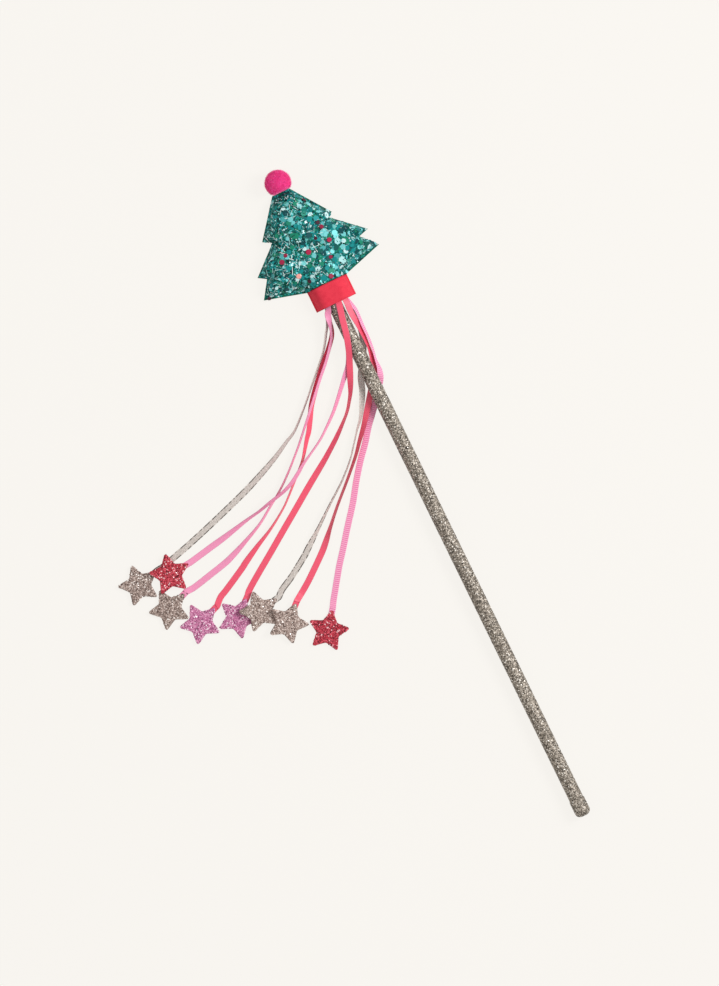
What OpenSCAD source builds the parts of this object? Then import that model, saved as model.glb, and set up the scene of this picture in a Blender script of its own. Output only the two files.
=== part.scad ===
// Toy wand: a padded glitter tree on a covered stick, with eight ribbon streamers that end in stars.
// It lies on its back. X runs across the wand, Y along it towards the tree and Z up from the table.

/* [Wand] */
// Length from the free end of the stick to the top of the pompom
wand_len = 358; // [340:1:420]
// Place of the stick across the wand, seen from the middle of the tree
stick_side = -1; // [-2:0.1:1]

/* [Stick] */
// Diameter of the stick with its cover
stick_d = 7.2; // [6.8:0.1:7.8]
// Thickness of the glitter fabric round the stick
cover_t = 0.6; // [0.4:0.1:1.2]
// Distance from the upper end of the wooden core to the top of the tree
core_stop = 29; // [21:1:39]
// Length of cover that runs up under the trunk band
cover_reach = 10; // [4:0.5:11]

/* [Stick end] */
// Length of the gathered fabric end
cap_len = 9; // [7:0.5:16]
// Thickness of the gathered fabric
cap_t = 0.3; // [0.2:0.1:0.8]
// Thickness of the fabric across the very end
cap_floor = 2.2; // [2:0.1:4]
// Radius that rounds the end
cap_round = 2.4; // [1:0.1:2.4]

/* [Tree] */
// Width of the tree over its lowest boughs
tree_w = 64; // [50:1:80]
// Height of the tree from the trunk band to its blunt top
tree_h = 51.1; // [44:0.1:60]
// Thickness of the felt on the back of the tree and trunk
felt_t = 1.1; // [0.8:0.1:1.6]
// Thickness of the glitter front panel
panel_t = 1; // [0.6:0.1:1.5]
// Height of the padding at its crown
padding_h = 8.2; // [8:0.1:12]

/* [Pompom] */
// Diameter of the pompom
pompom_d = 14; // [10:0.5:20]
// Depth of the flat where the pompom is pressed on the tree top
pompom_flat = 2.5; // [1:0.1:4]

/* [Trunk band] */
// Width of the trunk band
band_w = 21.8; // [20:0.1:28]
// Height of the trunk band along the stick
band_h = 11; // [8:0.5:16]
// Height of the room under the band's bulge
band_room = 8.8; // [8.8:0.1:11]
// Width of the glued seam at each side of the band
band_seam = 0.8; // [0.5:0.1:1.5]

/* [Ribbons] */
// Width of a ribbon
ribbon_w = 3.2; // [2.4:0.1:3.4]
// Thickness of a ribbon
ribbon_t = 0.3; // [0.2:0.02:0.34]

/* [Stars] */
// Radius of a star to its tips
star_r = 10.4; // [9:0.1:10.4]
// Radius of a star to its inner corners
star_notch_r = 5.9; // [4.6:0.1:6.2]
// Radius of the rounded tips
star_tip_r = 1.7; // [0.8:0.1:2]
// Thickness of the glitter front of a star
star_front_t = 0.9; // [0.7:0.1:1]
// Thickness of the back of a star
star_back_t = 0.8; // [0.6:0.1:0.9]
// Length of ribbon held inside a star
tail_len = 8; // [4:0.5:9]
// Clearance beside the ribbon inside a star
tail_gap = 0.1; // [0.05:0.05:0.3]

/* [Hidden] */

// Facets of a full circle
round_fn = 72;
// Overrun of every cut past the face that it cuts
overrun = 1;

// The wand's stations along Y, from the free end to the pompom
end_y = -wand_len / 2;
top_y = wand_len / 2;
tree_top_y = top_y - pompom_d + pompom_flat;
tree_low_y = tree_top_y - tree_h;
band_low_y = tree_low_y - band_h;

// The stick lies on the felt back of the trunk
stick_r = stick_d / 2;
core_r = stick_r - cover_t;
core_end_y = tree_top_y - core_stop;
stick_z = felt_t + stick_r;

// Half of the tree's outline and of its height, which the outline's shares follow
half_tree_w = tree_w / 2;
// Corners of the tree, clockwise from the left of its blunt top, in half widths and heights
tree_outline_shares = [
    [-0.17, 1], [0.12, 1],
    [0.56, 0.61], [0.47, 0.58],
    [0.95, 0.305], [0.78, 0.275],
    [1, 0.12], [0.34, 0], [-0.34, 0], [-1, 0.12],
    [-0.81, 0.295], [-0.935, 0.345],
    [-0.485, 0.59], [-0.625, 0.64]
];
// Steps that each side of the outline is cut into
tree_side_steps = [2, 5, 1, 4, 2, 2, 5, 8, 5, 3, 2, 4, 2, 5];
// Rings of the padded panel from its middle to its edge, the last two being the flat seam
tree_ring_shares = [0.2, 0.4, 0.56, 0.7, 0.8, 0.87, 0.91, 0.95, 1];
// Number of rings that the padding reaches
padding_rings = 7;
// Fullness of the padding, where a higher power gives a flatter crown
crown_power = 4;
// Where the padded crown meets the seam
seam_share = 0.95;
// Middle of the padding up the tree
middle_share = 0.5;
// Length up the tree over which the stick's bulge fades into the padding
bulge_fade_share = 0.8;

// Powers of the band's bulge across the stick
bulge_power = 3;
bulge_root = 0.7;
// Steps across the band's bulge
bulge_steps = 24;
half_band_w = band_w / 2;
bulge_half_w = half_band_w - band_seam;

// Steps round a star's tip, and the angle from the tip's middle to where its round ends
tip_steps = 4;
tip_turn = 64;
arms = 5;
arm_turn = 360 / arms;

// Steps of curve between two points of a ribbon's route
route_steps = 3;
// Corners of a ribbon's flat section, in half widths and half thicknesses
section_shares = [[-1, -1], [1, -1], [1, 1], [-1, 1]];
// Distances before a star's tip where the ribbon comes into line with the star
lead_far = 1.6;
lead_near = 0.2;

// Where each ribbon ends: its star's place, height, turn of the ribbon's arm, lean and high side's direction
route_ends = [
    [-150.5, 22, 0, 13.2, 0, 0],
    [-134.4, 20, 1.2, 5, 5.9, 180],
    [-142.1, 4.6, 0, 20, 0, 0],
    [-131.3, -8.6, 0, 20.5, 0, 0],
    [-113.3, -14.3, 0, 40.3, 0, 0],
    [-102.2, -16.2, 1.55, 11, 8, 180],
    [-92, -27.5, 1.75, 42, 9.8, 133],
    [-75.6, -40, 0, 53, 0, 0]
];

// Ribbon routes from the trunk band to the star: place, height and roll, where 0 lies flat
routes = [
    [
        [-5.4, 112, 4.7, -87], [-6.2, 105, 5.2, -80], [-7.6, 101, 4.9, -72], [-9, 97.5, 4.4, -68],
        [-11.4, 94, 3.7, -68], [-14, 90, 2.6, -70], [-17.5, 85.5, 2, -72], [-23, 80, 1.8, -73],
        [-29, 74, 1.8, -75], [-37, 66, 1.8, -75], [-46.5, 57.5, 1.7, -70], [-53, 54, 1.6, -58],
        [-62.5, 49, 1.3, -42], [-78, 42.5, 0.6, -12], [-89.5, 38.5, 0.3, 0], [-103.5, 34, 0.3, 0],
        [-118.5, 29.5, 0.3, 0], [-128, 27, 0.3, 0], [-135, 25.2, 0.5, 0]
    ],
    [
        [-0.2, 112, 8.8, -12], [0.8, 106, 8.9, 0], [-0.8, 97, 8.9, 0], [-2.6, 88.5, 8.9, 0],
        [-5.2, 80.5, 7.7, 15], [-8.4, 74.5, 5.2, -10], [-13, 70, 3.4, -45], [-20.5, 62, 2.2, -57],
        [-25.5, 57, 2, -62], [-31.5, 52, 1.9, -68], [-37.5, 47.5, 2, -72], [-44.5, 43.5, 2.8, -72],
        [-50, 40.5, 4.2, -65], [-54.5, 37.5, 4.7, -55], [-59.5, 34.5, 4.7, -55], [-64.5, 32.5, 4.7, -60],
        [-69, 31.4, 4.8, -60], [-74.5, 30.2, 4.7, -62], [-80.5, 28.8, 3, -66], [-88.5, 27.5, 1.7, -60],
        [-100.5, 25, 1.1, -30], [-109, 23.5, 0.5, 0], [-116, 22.2, 0.5, 0]
    ],
    [
        [-3.6, 112, 8, 40], [-4.8, 105, 7.9, 28], [-6.4, 102, 7.4, 0], [-7.2, 98.5, 6.3, -40],
        [-8.2, 95, 5.2, -65], [-9.6, 91.5, 4.2, -68], [-12, 88, 3.4, -66], [-17.5, 81.5, 2.6, -65],
        [-23.5, 75.5, 2.5, -65], [-29.5, 69.2, 3, -66], [-34, 64.5, 4.4, -68], [-38, 60.2, 4.9, -70],
        [-42.7, 55.4, 3.8, -72], [-46, 52, 2.4, -73], [-49.5, 48.5, 1.8, -74], [-57, 41.5, 1.7, -74],
        [-63.5, 36, 1.7, -74], [-69, 32, 1.7, -72], [-74.5, 28.5, 1.7, -70], [-83, 23, 1.6, -68],
        [-94, 18, 1.4, -50], [-103, 14.4, 0.7, -20], [-108, 12.9, 0.3, 0], [-117.5, 10.8, 0.3, 0],
        [-126, 9, 0.4, 0]
    ],
    [
        [-5, 112, 4.7, -87], [-5.4, 105, 4, -84], [-6.6, 99, 2.9, -66], [-8.8, 92.5, 2, -45],
        [-13.5, 86.8, 1.6, -40], [-18.5, 81.8, 1.2, -32], [-24.2, 75.9, 1.1, -30], [-29.2, 70.4, 1.1, -30],
        [-33.8, 64.8, 1.2, -34], [-37, 59.5, 1.3, -38], [-40.5, 54, 1.3, -40], [-43, 51, 1.4, -48],
        [-46, 47, 1.6, -58], [-49.5, 42.5, 1.6, -66], [-53, 39, 1.6, -68], [-57.5, 35, 1.6, -70],
        [-64, 29, 1.7, -74], [-69.5, 24.5, 1.7, -74], [-79, 18.5, 1.6, -67], [-89, 13.5, 1.3, -45],
        [-97, 9.2, 0.6, -15], [-101, 6.8, 0.3, 0], [-112, 1, 0.3, 0], [-116.5, -1.2, 0.4, 0]
    ],
    [
        [-0.1, 112, 9.2, -12], [1.2, 106, 9.3, 0], [-0.8, 97, 9.3, 0], [-2.6, 88.5, 9.3, 0],
        [-5.2, 80.5, 8.2, 15], [-8.4, 73, 5.8, 0], [-11.5, 66, 3.5, 30], [-13.5, 62, 2.8, 50],
        [-15.5, 59, 2.3, 58], [-18.5, 55, 1.9, 62], [-22, 51.5, 1.7, 62], [-29, 45.5, 1.4, 45],
        [-35, 41, 1.2, 38], [-41, 36.8, 0.9, 28], [-52.5, 29.3, 0.4, 5], [-64, 21.5, 0.3, 0],
        [-74, 14.8, 0.3, 0], [-84, 8, 0.3, 0], [-96, 0, 0.3, 0], [-102, -4.3, 0.4, 0]
    ],
    [
        [2.6, 112, 3.1, -116], [5.2, 105, 4.4, -75], [6.4, 100, 4, -36], [6.3, 95, 2.7, -25],
        [5.4, 89, 1.7, -18], [3.8, 83, 0.9, -8], [1, 77, 0.4, 0], [-2, 72, 0.3, 0],
        [-5.2, 67, 0.3, 0], [-7.6, 60.5, 0.6, -15], [-10.5, 55, 1.1, -35], [-14.5, 48.5, 1.6, -60],
        [-18.6, 43.9, 1.7, -74], [-23.6, 37.7, 1.8, -78], [-28.5, 31.8, 1.8, -78], [-37, 24, 1.8, -76],
        [-47, 16.5, 1.7, -72], [-58.5, 7.5, 1.5, -55], [-66.5, 1.5, 0.7, -15], [-70, -1.2, 0.3, 0],
        [-80, -7.5, 0.3, 0], [-87, -11.2, 0.5, 0]
    ],
    [
        [3.1, 112, 7, -64], [4.7, 105, 7.9, -28], [4.5, 98, 7, -22], [5, 91, 5.2, -36],
        [5.1, 84, 3.6, -50], [4.8, 78, 2.3, -58], [3.6, 71.5, 1.3, -35], [1.6, 66, 0.9, -6],
        [-1.8, 61, 0.8, 0], [-5.6, 56, 0.7, 0], [-9.6, 50.8, 1, 15], [-14.3, 44.8, 1.5, 38],
        [-20, 38.3, 1.6, 52], [-25.3, 32.2, 1.6, 60], [-34.2, 23.4, 1.6, 65], [-44.2, 14, 1.6, 65],
        [-52, 6, 1.5, 55], [-57.5, 0.2, 0.8, 20], [-62, -4, 0.3, 0], [-73, -12.8, 0.3, 0],
        [-79.5, -17.3, 0.5, 0]
    ],
    [
        [2.6, 112, 6.7, -64], [5.2, 105, 6.7, -38], [6.4, 101.5, 5.5, -48], [7.3, 97.5, 4.7, -62],
        [6.9, 89, 4.1, -64], [6.8, 82, 2.9, -70], [6.3, 77, 2, -72], [5.3, 71.5, 1.75, -72],
        [4.8, 66.3, 1.2, -42], [3, 61.6, 0.4, -4], [-0.4, 57.5, 0.25, 0], [-4.6, 52, 0.25, 0],
        [-9, 47, 0.25, 0], [-12.6, 43, 0.25, 0], [-18, 36, 0.25, 0], [-23.5, 29.7, 0.25, 0],
        [-30, 21.3, 0.25, 0], [-36.5, 12, 0.3, 0], [-44, 2.6, 0.3, 0], [-51, -6.5, 0.3, 0],
        [-56.5, -13.4, 0.3, 0], [-63, -22.5, 0.3, 0], [-66.5, -27.4, 0.4, 0]
    ]
];
// Point of each route where the free end lifts from the table
fold_points = [15, 21, 22, 21, 16, 19, 18, 19];

silver_colour = [0.8, 0.78, 0.74];
coral_colour = [0.94, 0.33, 0.41];
pink_colour = [0.94, 0.55, 0.7];
ribbon_colours = [
    silver_colour, pink_colour, pink_colour, coral_colour,
    coral_colour, silver_colour, coral_colour, pink_colour
];
gold_star = [0.6, 0.55, 0.5];
red_star = [0.7, 0.18, 0.24];
pink_star = [0.78, 0.42, 0.63];
// Brightness of a star's back beside its front
back_shade = 0.8;
star_colours = [gold_star, red_star, gold_star, pink_star, pink_star, gold_star, gold_star, red_star];

// Height of the bulge over the stick at a place across the band
function bulge(x) =
    abs(x) >= bulge_half_w
        ? 0
        : band_room * pow(1 - pow(abs(x) / bulge_half_w, bulge_power), bulge_root);

// Height of the padding at a share of the way from its middle to the tree's edge
function crown(share) =
    share >= seam_share
        ? 0
        : padding_h * sqrt(1 - pow(share / seam_share, crown_power));

// Height under the front panel, where the padding and the stick's bulge run into each other
function panel_rise(x, y, share) =
    let (fade = max(0, 1 - pow((y - tree_low_y) / (tree_h * bulge_fade_share), 2)))
    max(crown(share), bulge(x) * fade);

// Tree outline with its sides cut into steps
tree_corners = [for (s = tree_outline_shares) [s[0] * half_tree_w, tree_low_y + s[1] * tree_h]];
corner_count = len(tree_corners);
tree_outline = [
    for (i = [0 : corner_count - 1], step = [0 : tree_side_steps[i] - 1])
        let (from = tree_corners[i], to = tree_corners[(i + 1) % corner_count])
        from + (to - from) * step / tree_side_steps[i]
];
outline_count = len(tree_outline);
tree_middle = [0, tree_low_y + tree_h * middle_share];

// One ring of the padded tree, at a share of its outline, raised by a thickness
function tree_ring(share, lift) = [
    for (p = tree_outline)
        let (q = tree_middle + (p - tree_middle) * share)
        [q[0], q[1], felt_t + panel_rise(q[0], q[1], share) + lift]
];
function tree_peak(lift) =
    concat(tree_middle, [felt_t + panel_rise(0, tree_middle[1], 0) + lift]);
function tree_rings(count, lift) = [
    for (i = [0 : count - 1]) each tree_ring(tree_ring_shares[i], lift)
];
// Faces between rings that start at a point's number, facing up when flipped is false
function ring_faces(first, count, flipped) = [
    for (r = [0 : count - 2], i = [0 : outline_count - 1])
        let (
            a = first + r * outline_count + i,
            b = first + r * outline_count + (i + 1) % outline_count,
            c = a + outline_count,
            d = b + outline_count
        )
        each flipped ? [[a, b, d], [a, d, c]] : [[a, d, b], [a, c, d]]
];
function fan_faces(peak, first, flipped) = [
    for (i = [0 : outline_count - 1])
        let (a = first + i, b = first + (i + 1) % outline_count)
        flipped ? [peak, b, a] : [peak, a, b]
];
// Faces of a wall between an upper and a lower ring
function wall_faces(upper, lower) = [
    for (i = [0 : outline_count - 1])
        let (j = (i + 1) % outline_count)
        each [[upper + i, lower + j, upper + j], [upper + i, lower + i, lower + j]]
];

module stick_along_y(from, length, radius) {
    translate([stick_side, from, stick_z])
        rotate([-90, 0, 0])
            cylinder(h = length, r = radius, $fn = round_fn);
}

module stick_core() {
    from = end_y + cap_floor;
    color([0.86, 0.72, 0.5])
        stick_along_y(from, core_end_y - from, core_r);
}

module stick_cover() {
    from = end_y + cap_floor;
    length = band_low_y + cover_reach - from;
    color([0.55, 0.51, 0.46])
        difference() {
            stick_along_y(from, length, stick_r);
            stick_along_y(from - overrun, length + 2 * overrun, core_r);
        }
}

module stick_end_cap() {
    outer_r = stick_r + cap_t;
    color([0.5, 0.46, 0.41])
        translate([stick_side, end_y, stick_z])
            rotate([-90, 0, 0])
                rotate_extrude($fn = round_fn)
                    difference() {
                        union() {
                            square([outer_r - cap_round, cap_len]);
                            translate([0, cap_round])
                                square([outer_r, cap_len - cap_round]);
                            translate([outer_r - cap_round, cap_round])
                                circle(r = cap_round, $fn = round_fn);
                        }
                        translate([0, cap_floor])
                            square([stick_r, cap_len]);
                        translate([-outer_r, 0])
                            square([outer_r, cap_len]);
                    }
}

module tree_front() {
    count = len(tree_ring_shares);
    outer = concat([tree_peak(panel_t)], tree_rings(count, panel_t));
    inner = concat([tree_peak(0)], tree_rings(count, 0));
    inner_first = len(outer);
    last_ring = (count - 1) * outline_count;
    color([0.14, 0.51, 0.47])
        polyhedron(
            points = concat(outer, inner),
            faces = concat(
                fan_faces(0, 1, false),
                ring_faces(1, count, false),
                fan_faces(inner_first, inner_first + 1, true),
                ring_faces(inner_first + 1, count, true),
                wall_faces(1 + last_ring, inner_first + 1 + last_ring)
            ),
            convexity = 8
        );
}

module tree_back() {
    color([0.12, 0.4, 0.34])
        linear_extrude(felt_t)
            polygon(tree_corners);
}

module tree_padding() {
    upper = concat([tree_peak(0)], tree_rings(padding_rings, 0));
    share = tree_ring_shares[padding_rings - 1];
    base = [
        for (p = tree_outline)
            let (q = tree_middle + (p - tree_middle) * share)
            [q[0], q[1], felt_t]
    ];
    base_first = len(upper);
    last_ring = (padding_rings - 1) * outline_count;
    color([0.95, 0.94, 0.9])
        difference() {
            polyhedron(
                points = concat(upper, base, [[tree_middle[0], tree_middle[1], felt_t]]),
                faces = concat(
                    fan_faces(0, 1, false),
                    ring_faces(1, padding_rings, false),
                    wall_faces(1 + last_ring, base_first),
                    fan_faces(base_first + outline_count, base_first, true)
                ),
                convexity = 6
            );
            stick_along_y(band_low_y, core_end_y - band_low_y, core_r);
        }
}

module pompom() {
    ball_r = pompom_d / 2;
    color([0.9, 0.2, 0.51])
        translate([0, top_y - ball_r, ball_r])
            rotate([-90, 0, 0])
                rotate_extrude($fn = round_fn)
                    intersection() {
                        circle(r = ball_r, $fn = round_fn);
                        translate([0, pompom_flat - ball_r])
                            square([ball_r, pompom_d]);
                    }
}

module trunk_front() {
    xs = [for (i = [0 : bulge_steps]) (i / bulge_steps * 2 - 1) * bulge_half_w];
    under = concat([[-half_band_w, 0]], [for (x = xs) [x, bulge(x)]], [[half_band_w, 0]]);
    over = [for (i = [len(under) - 1 : -1 : 0]) under[i] + [0, felt_t]];
    color([0.91, 0.24, 0.29])
        translate([0, tree_low_y, felt_t])
            rotate([90, 0, 0])
                linear_extrude(band_h)
                    polygon(concat(under, over));
}

module trunk_back() {
    color([0.85, 0.2, 0.26])
        translate([-half_band_w, band_low_y, 0])
            cube([band_w, band_h, felt_t]);
}

// Outline of a star, its first arm along X, with round tips
star_outline = [
    for (arm = [0 : arms - 1], step = [0 : tip_steps + 1])
        let (
            turn = arm * arm_turn,
            swing = turn + tip_turn * (2 * step / tip_steps - 1),
            notch = turn + arm_turn / 2
        )
        step > tip_steps
            ? star_notch_r * [cos(notch), sin(notch)]
            : (star_r - star_tip_r) * [cos(turn), sin(turn)] + star_tip_r * [cos(swing), sin(swing)]
];

// Places a child, drawn flat about the origin, as star number i lies
module as_star(i) {
    pose = route_ends[i];
    translate([pose[0], pose[1], pose[2]])
        rotate(a = -pose[4], v = [-sin(pose[5]), cos(pose[5]), 0])
            rotate([0, 0, pose[3]])
                children();
}

module star_back(i) {
    color(star_colours[i] * back_shade)
        as_star(i)
            linear_extrude(star_back_t)
                polygon(star_outline);
}

module star_front(i) {
    slot_w = ribbon_w + 2 * tail_gap;
    color(star_colours[i])
        as_star(i)
            difference() {
                translate([0, 0, star_back_t])
                    linear_extrude(star_front_t)
                        polygon(star_outline);
                translate([star_r - tail_len - tail_gap, -slot_w / 2, star_back_t - overrun])
                    cube([tail_len + tail_gap + overrun, slot_w, ribbon_t + overrun]);
            }
}

// Turns a vector about a level or upright axis, as rotate() does
function turned(v, axis, angle) =
    v * cos(angle) + cross(axis, v) * sin(angle) + axis * (axis * v) * (1 - cos(angle));
// A point or direction of star number i, from its own frame to the wand's
function star_turn(i, v) =
    let (pose = route_ends[i])
    turned(turned(v, [0, 0, 1], pose[3]), [-sin(pose[5]), cos(pose[5]), 0], -pose[4]);
function star_point(i, v) = [route_ends[i][0], route_ends[i][1], route_ends[i][2]] + star_turn(i, v);

// Roll that lays a ribbon flat in star number i
function tail_roll(i) =
    let (
        along = star_turn(i, [-1, 0, 0]),
        across = star_turn(i, [0, -1, 0]),
        level = [-along[1], along[0], 0] / norm([along[0], along[1]])
    )
    atan2(across * cross(along, level), across * level);

// Whole route of ribbon number i, with its end inside the star
function full_route(i) = concat(
    routes[i],
    [
        for (x = [star_r + lead_far, star_r + lead_near, star_r - tail_len])
            concat(star_point(i, [x, 0, star_back_t + ribbon_t / 2]), [tail_roll(i)])
    ]
);

// Smooth curve through four points of a route
function curve(p, q, r, s, t) =
    (q * 2 + (r - p) * t + (p * 2 - q * 5 + r * 4 - s) * t * t + (q * 3 - p - r * 3 + s) * t * t * t) / 2;
function smooth(route) =
    let (last = len(route) - 1)
    concat(
        [
            for (i = [0 : last - 1], step = [0 : route_steps - 1])
                curve(
                    route[max(i - 1, 0)], route[i], route[i + 1], route[min(i + 2, last)],
                    step / route_steps
                )
        ],
        [route[last]]
    );

function xyz(p) = [p[0], p[1], p[2]];
function unit(v) = v / norm(v);
// Four corners of the ribbon's section at point n of a smooth route
function section(path, n) =
    let (
        here = xyz(path[n]),
        along = unit(xyz(path[min(n + 1, len(path) - 1)]) - xyz(path[max(n - 1, 0)])),
        level = unit([-along[1], along[0], 0]),
        across = level * cos(path[n][3]) + cross(along, level) * sin(path[n][3]),
        through = cross(along, across)
    )
    [for (s = section_shares) here + across * s[0] * ribbon_w / 2 + through * s[1] * ribbon_t / 2];

// A flat ribbon over the points from first to last of a smooth route
module band(path, first, last) {
    rows = last - first;
    corners = [for (n = [first : last]) each section(path, n)];
    sides = [
        for (r = [0 : rows - 1], side = [0 : 3])
            let (a = 4 * r + side, b = 4 * r + (side + 1) % 4)
            each [[a, b + 4, b], [a, a + 4, b + 4]]
    ];
    polyhedron(
        points = corners,
        faces = concat([[0, 1, 2, 3]], sides, [[4 * rows + 3, 4 * rows + 2, 4 * rows + 1, 4 * rows]]),
        convexity = 6
    );
}

module ribbon_held(i) {
    path = smooth(full_route(i));
    color(ribbon_colours[i])
        band(path, 0, fold_points[i] * route_steps);
}

module ribbon_free(i) {
    path = smooth(full_route(i));
    color(ribbon_colours[i])
        band(path, fold_points[i] * route_steps, len(path) - 1);
}

module ribbon_1() { ribbon_held(0); }
module ribbon_2() { ribbon_held(1); }
module ribbon_3() { ribbon_held(2); }
module ribbon_4() { ribbon_held(3); }
module ribbon_5() { ribbon_held(4); }
module ribbon_6() { ribbon_held(5); }
module ribbon_7() { ribbon_held(6); }
module ribbon_8() { ribbon_held(7); }

module ribbon_1_end() { ribbon_free(0); }
module ribbon_2_end() { ribbon_free(1); }
module ribbon_3_end() { ribbon_free(2); }
module ribbon_4_end() { ribbon_free(3); }
module ribbon_5_end() { ribbon_free(4); }
module ribbon_6_end() { ribbon_free(5); }
module ribbon_7_end() { ribbon_free(6); }
module ribbon_8_end() { ribbon_free(7); }

module star_1_front() { star_front(0); }
module star_2_front() { star_front(1); }
module star_3_front() { star_front(2); }
module star_4_front() { star_front(3); }
module star_5_front() { star_front(4); }
module star_6_front() { star_front(5); }
module star_7_front() { star_front(6); }
module star_8_front() { star_front(7); }

module star_1_back() { star_back(0); }
module star_2_back() { star_back(1); }
module star_3_back() { star_back(2); }
module star_4_back() { star_back(3); }
module star_5_back() { star_back(4); }
module star_6_back() { star_back(5); }
module star_7_back() { star_back(6); }
module star_8_back() { star_back(7); }

stick_core();
stick_cover();
stick_end_cap();
tree_front();
tree_back();
tree_padding();
pompom();
trunk_front();
trunk_back();
ribbon_1();
ribbon_2();
ribbon_3();
ribbon_4();
ribbon_5();
ribbon_6();
ribbon_7();
ribbon_8();
ribbon_1_end();
ribbon_2_end();
ribbon_3_end();
ribbon_4_end();
ribbon_5_end();
ribbon_6_end();
ribbon_7_end();
ribbon_8_end();
star_1_front();
star_2_front();
star_3_front();
star_4_front();
star_5_front();
star_6_front();
star_7_front();
star_8_front();
star_1_back();
star_2_back();
star_3_back();
star_4_back();
star_5_back();
star_6_back();
star_7_back();
star_8_back();
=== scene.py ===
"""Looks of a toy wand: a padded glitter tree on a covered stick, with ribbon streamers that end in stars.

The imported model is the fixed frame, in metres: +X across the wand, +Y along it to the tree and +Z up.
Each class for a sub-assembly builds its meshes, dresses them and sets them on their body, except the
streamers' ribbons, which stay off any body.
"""

import logging
import math
from dataclasses import dataclass, field
from enum import Enum, IntEnum
from typing import Optional, Sequence

import bmesh
import bpy
import numpy as np
from mathutils import Matrix, Vector, noise


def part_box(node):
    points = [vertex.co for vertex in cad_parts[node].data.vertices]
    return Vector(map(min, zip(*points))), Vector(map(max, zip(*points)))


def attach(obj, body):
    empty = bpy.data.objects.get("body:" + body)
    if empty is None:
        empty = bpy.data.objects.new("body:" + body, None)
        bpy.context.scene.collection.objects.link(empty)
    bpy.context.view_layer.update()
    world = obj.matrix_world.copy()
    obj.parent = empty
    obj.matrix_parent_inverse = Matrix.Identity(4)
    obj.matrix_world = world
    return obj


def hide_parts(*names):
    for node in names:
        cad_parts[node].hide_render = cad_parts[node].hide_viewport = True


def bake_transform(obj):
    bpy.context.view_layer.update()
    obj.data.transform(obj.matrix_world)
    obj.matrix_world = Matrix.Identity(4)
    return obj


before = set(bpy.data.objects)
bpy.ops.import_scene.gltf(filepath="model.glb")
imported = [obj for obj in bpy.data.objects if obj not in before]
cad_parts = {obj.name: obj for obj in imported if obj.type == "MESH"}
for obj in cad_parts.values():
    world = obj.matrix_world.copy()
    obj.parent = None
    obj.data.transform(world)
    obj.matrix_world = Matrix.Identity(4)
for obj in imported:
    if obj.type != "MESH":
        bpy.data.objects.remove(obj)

LOG = logging.getLogger("wand")
MM = 0.001
FULL_TURN = 2 * math.pi
WAND = "wand"
FLOAT = "NodeSocketFloat"
COLOUR = "NodeSocketColor"
VECTOR = "NodeSocketVector"
GEOMETRY = "NodeSocketGeometry"
Colour = tuple[float, float, float, float]
Span = tuple[float, float]
Rows = tuple[tuple[float, ...], ...]


def srgb(red: int, green: int, blue: int) -> Colour:
    """Turns a screen colour into the linear colour that shaders take.

    Args:
        red: Red from 0 to 255.
        green: Green from 0 to 255.
        blue: Blue from 0 to 255.

    Returns:
        The linear colour, with full alpha.
    """
    def linear(value: float) -> float:
        """Undoes the screen's curve for one channel."""
        return value / 12.92 if value <= 0.04045 else ((value + 0.055) / 1.055) ** 2.4

    return (linear(red / 255), linear(green / 255), linear(blue / 255), 1.0)


class MixSocket(IntEnum):
    """Numbers of a mix node's colour sockets, which share their names with its other sockets."""

    FACTOR = 0
    FIRST = 6
    SECOND = 7
    RESULT = 2


class Graph:
    """A node tree with short calls for adding and joining nodes."""

    def __init__(self, tree: bpy.types.NodeTree) -> None:
        """Keeps the tree that the calls work on."""
        self.tree = tree

    def add(self, kind: str, inputs: Optional[dict] = None, **settings: object) -> bpy.types.Node:
        """Adds a node.

        Args:
            kind: The node's type name.
            inputs: Values or output sockets by input name or number.
            **settings: The node's own settings.

        Returns:
            The new node.
        """
        made = self.tree.nodes.new(kind)
        for key, value in settings.items():
            setattr(made, key, value)
        for key, value in (inputs or {}).items():
            self.feed(made.inputs[key], value)
        return made

    def feed(self, socket: bpy.types.NodeSocket, value: object) -> None:
        """Joins an output to an input, or sets the input's value.

        Args:
            socket: The input.
            value: An output socket, or a value.
        """
        if isinstance(value, bpy.types.NodeSocket):
            self.tree.links.new(value, socket)
        else:
            socket.default_value = value

    def math(
        self, operation: str, first: object, second: object = 0.0, third: object = 0.0
    ) -> bpy.types.NodeSocket:
        """Adds a sum of up to three values and returns its output."""
        made = self.add("ShaderNodeMath", {0: first, 1: second, 2: third}, operation=operation)
        return made.outputs[0]

    def mix(self, factor: object, first: object, second: object) -> bpy.types.NodeSocket:
        """Adds a mix of two colours.

        Args:
            factor: Share of the second colour.
            first: First colour.
            second: Second colour.

        Returns:
            The mixed colour.
        """
        made = self.add(
            "ShaderNodeMix",
            {MixSocket.FACTOR: factor, MixSocket.FIRST: first, MixSocket.SECOND: second},
            data_type="RGBA",
        )
        return made.outputs[MixSocket.RESULT]

    def ramp(self, value: object, low: object, high: object) -> bpy.types.NodeSocket:
        """Adds a soft step from 0 to 1.

        Args:
            value: What the step follows.
            low: Value at which it leaves 0.
            high: Value at which it reaches 1.

        Returns:
            The step.
        """
        made = self.add(
            "ShaderNodeMapRange",
            {"Value": value, "From Min": low, "From Max": high},
            interpolation_type="SMOOTHSTEP",
        )
        return made.outputs[0]

    def place(self) -> bpy.types.NodeSocket:
        """Adds the place on the object and returns its output."""
        return self.add("ShaderNodeTexCoord").outputs["Object"]

    def clouds(
        self, place: object, scale: object, detail: float, distortion: float = 0.0
    ) -> bpy.types.NodeSocket:
        """Adds a cloudy noise and returns its output."""
        inputs = {"Vector": place, "Scale": scale, "Detail": detail, "Distortion": distortion}
        return self.add("ShaderNodeTexNoise", inputs).outputs[0]


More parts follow.
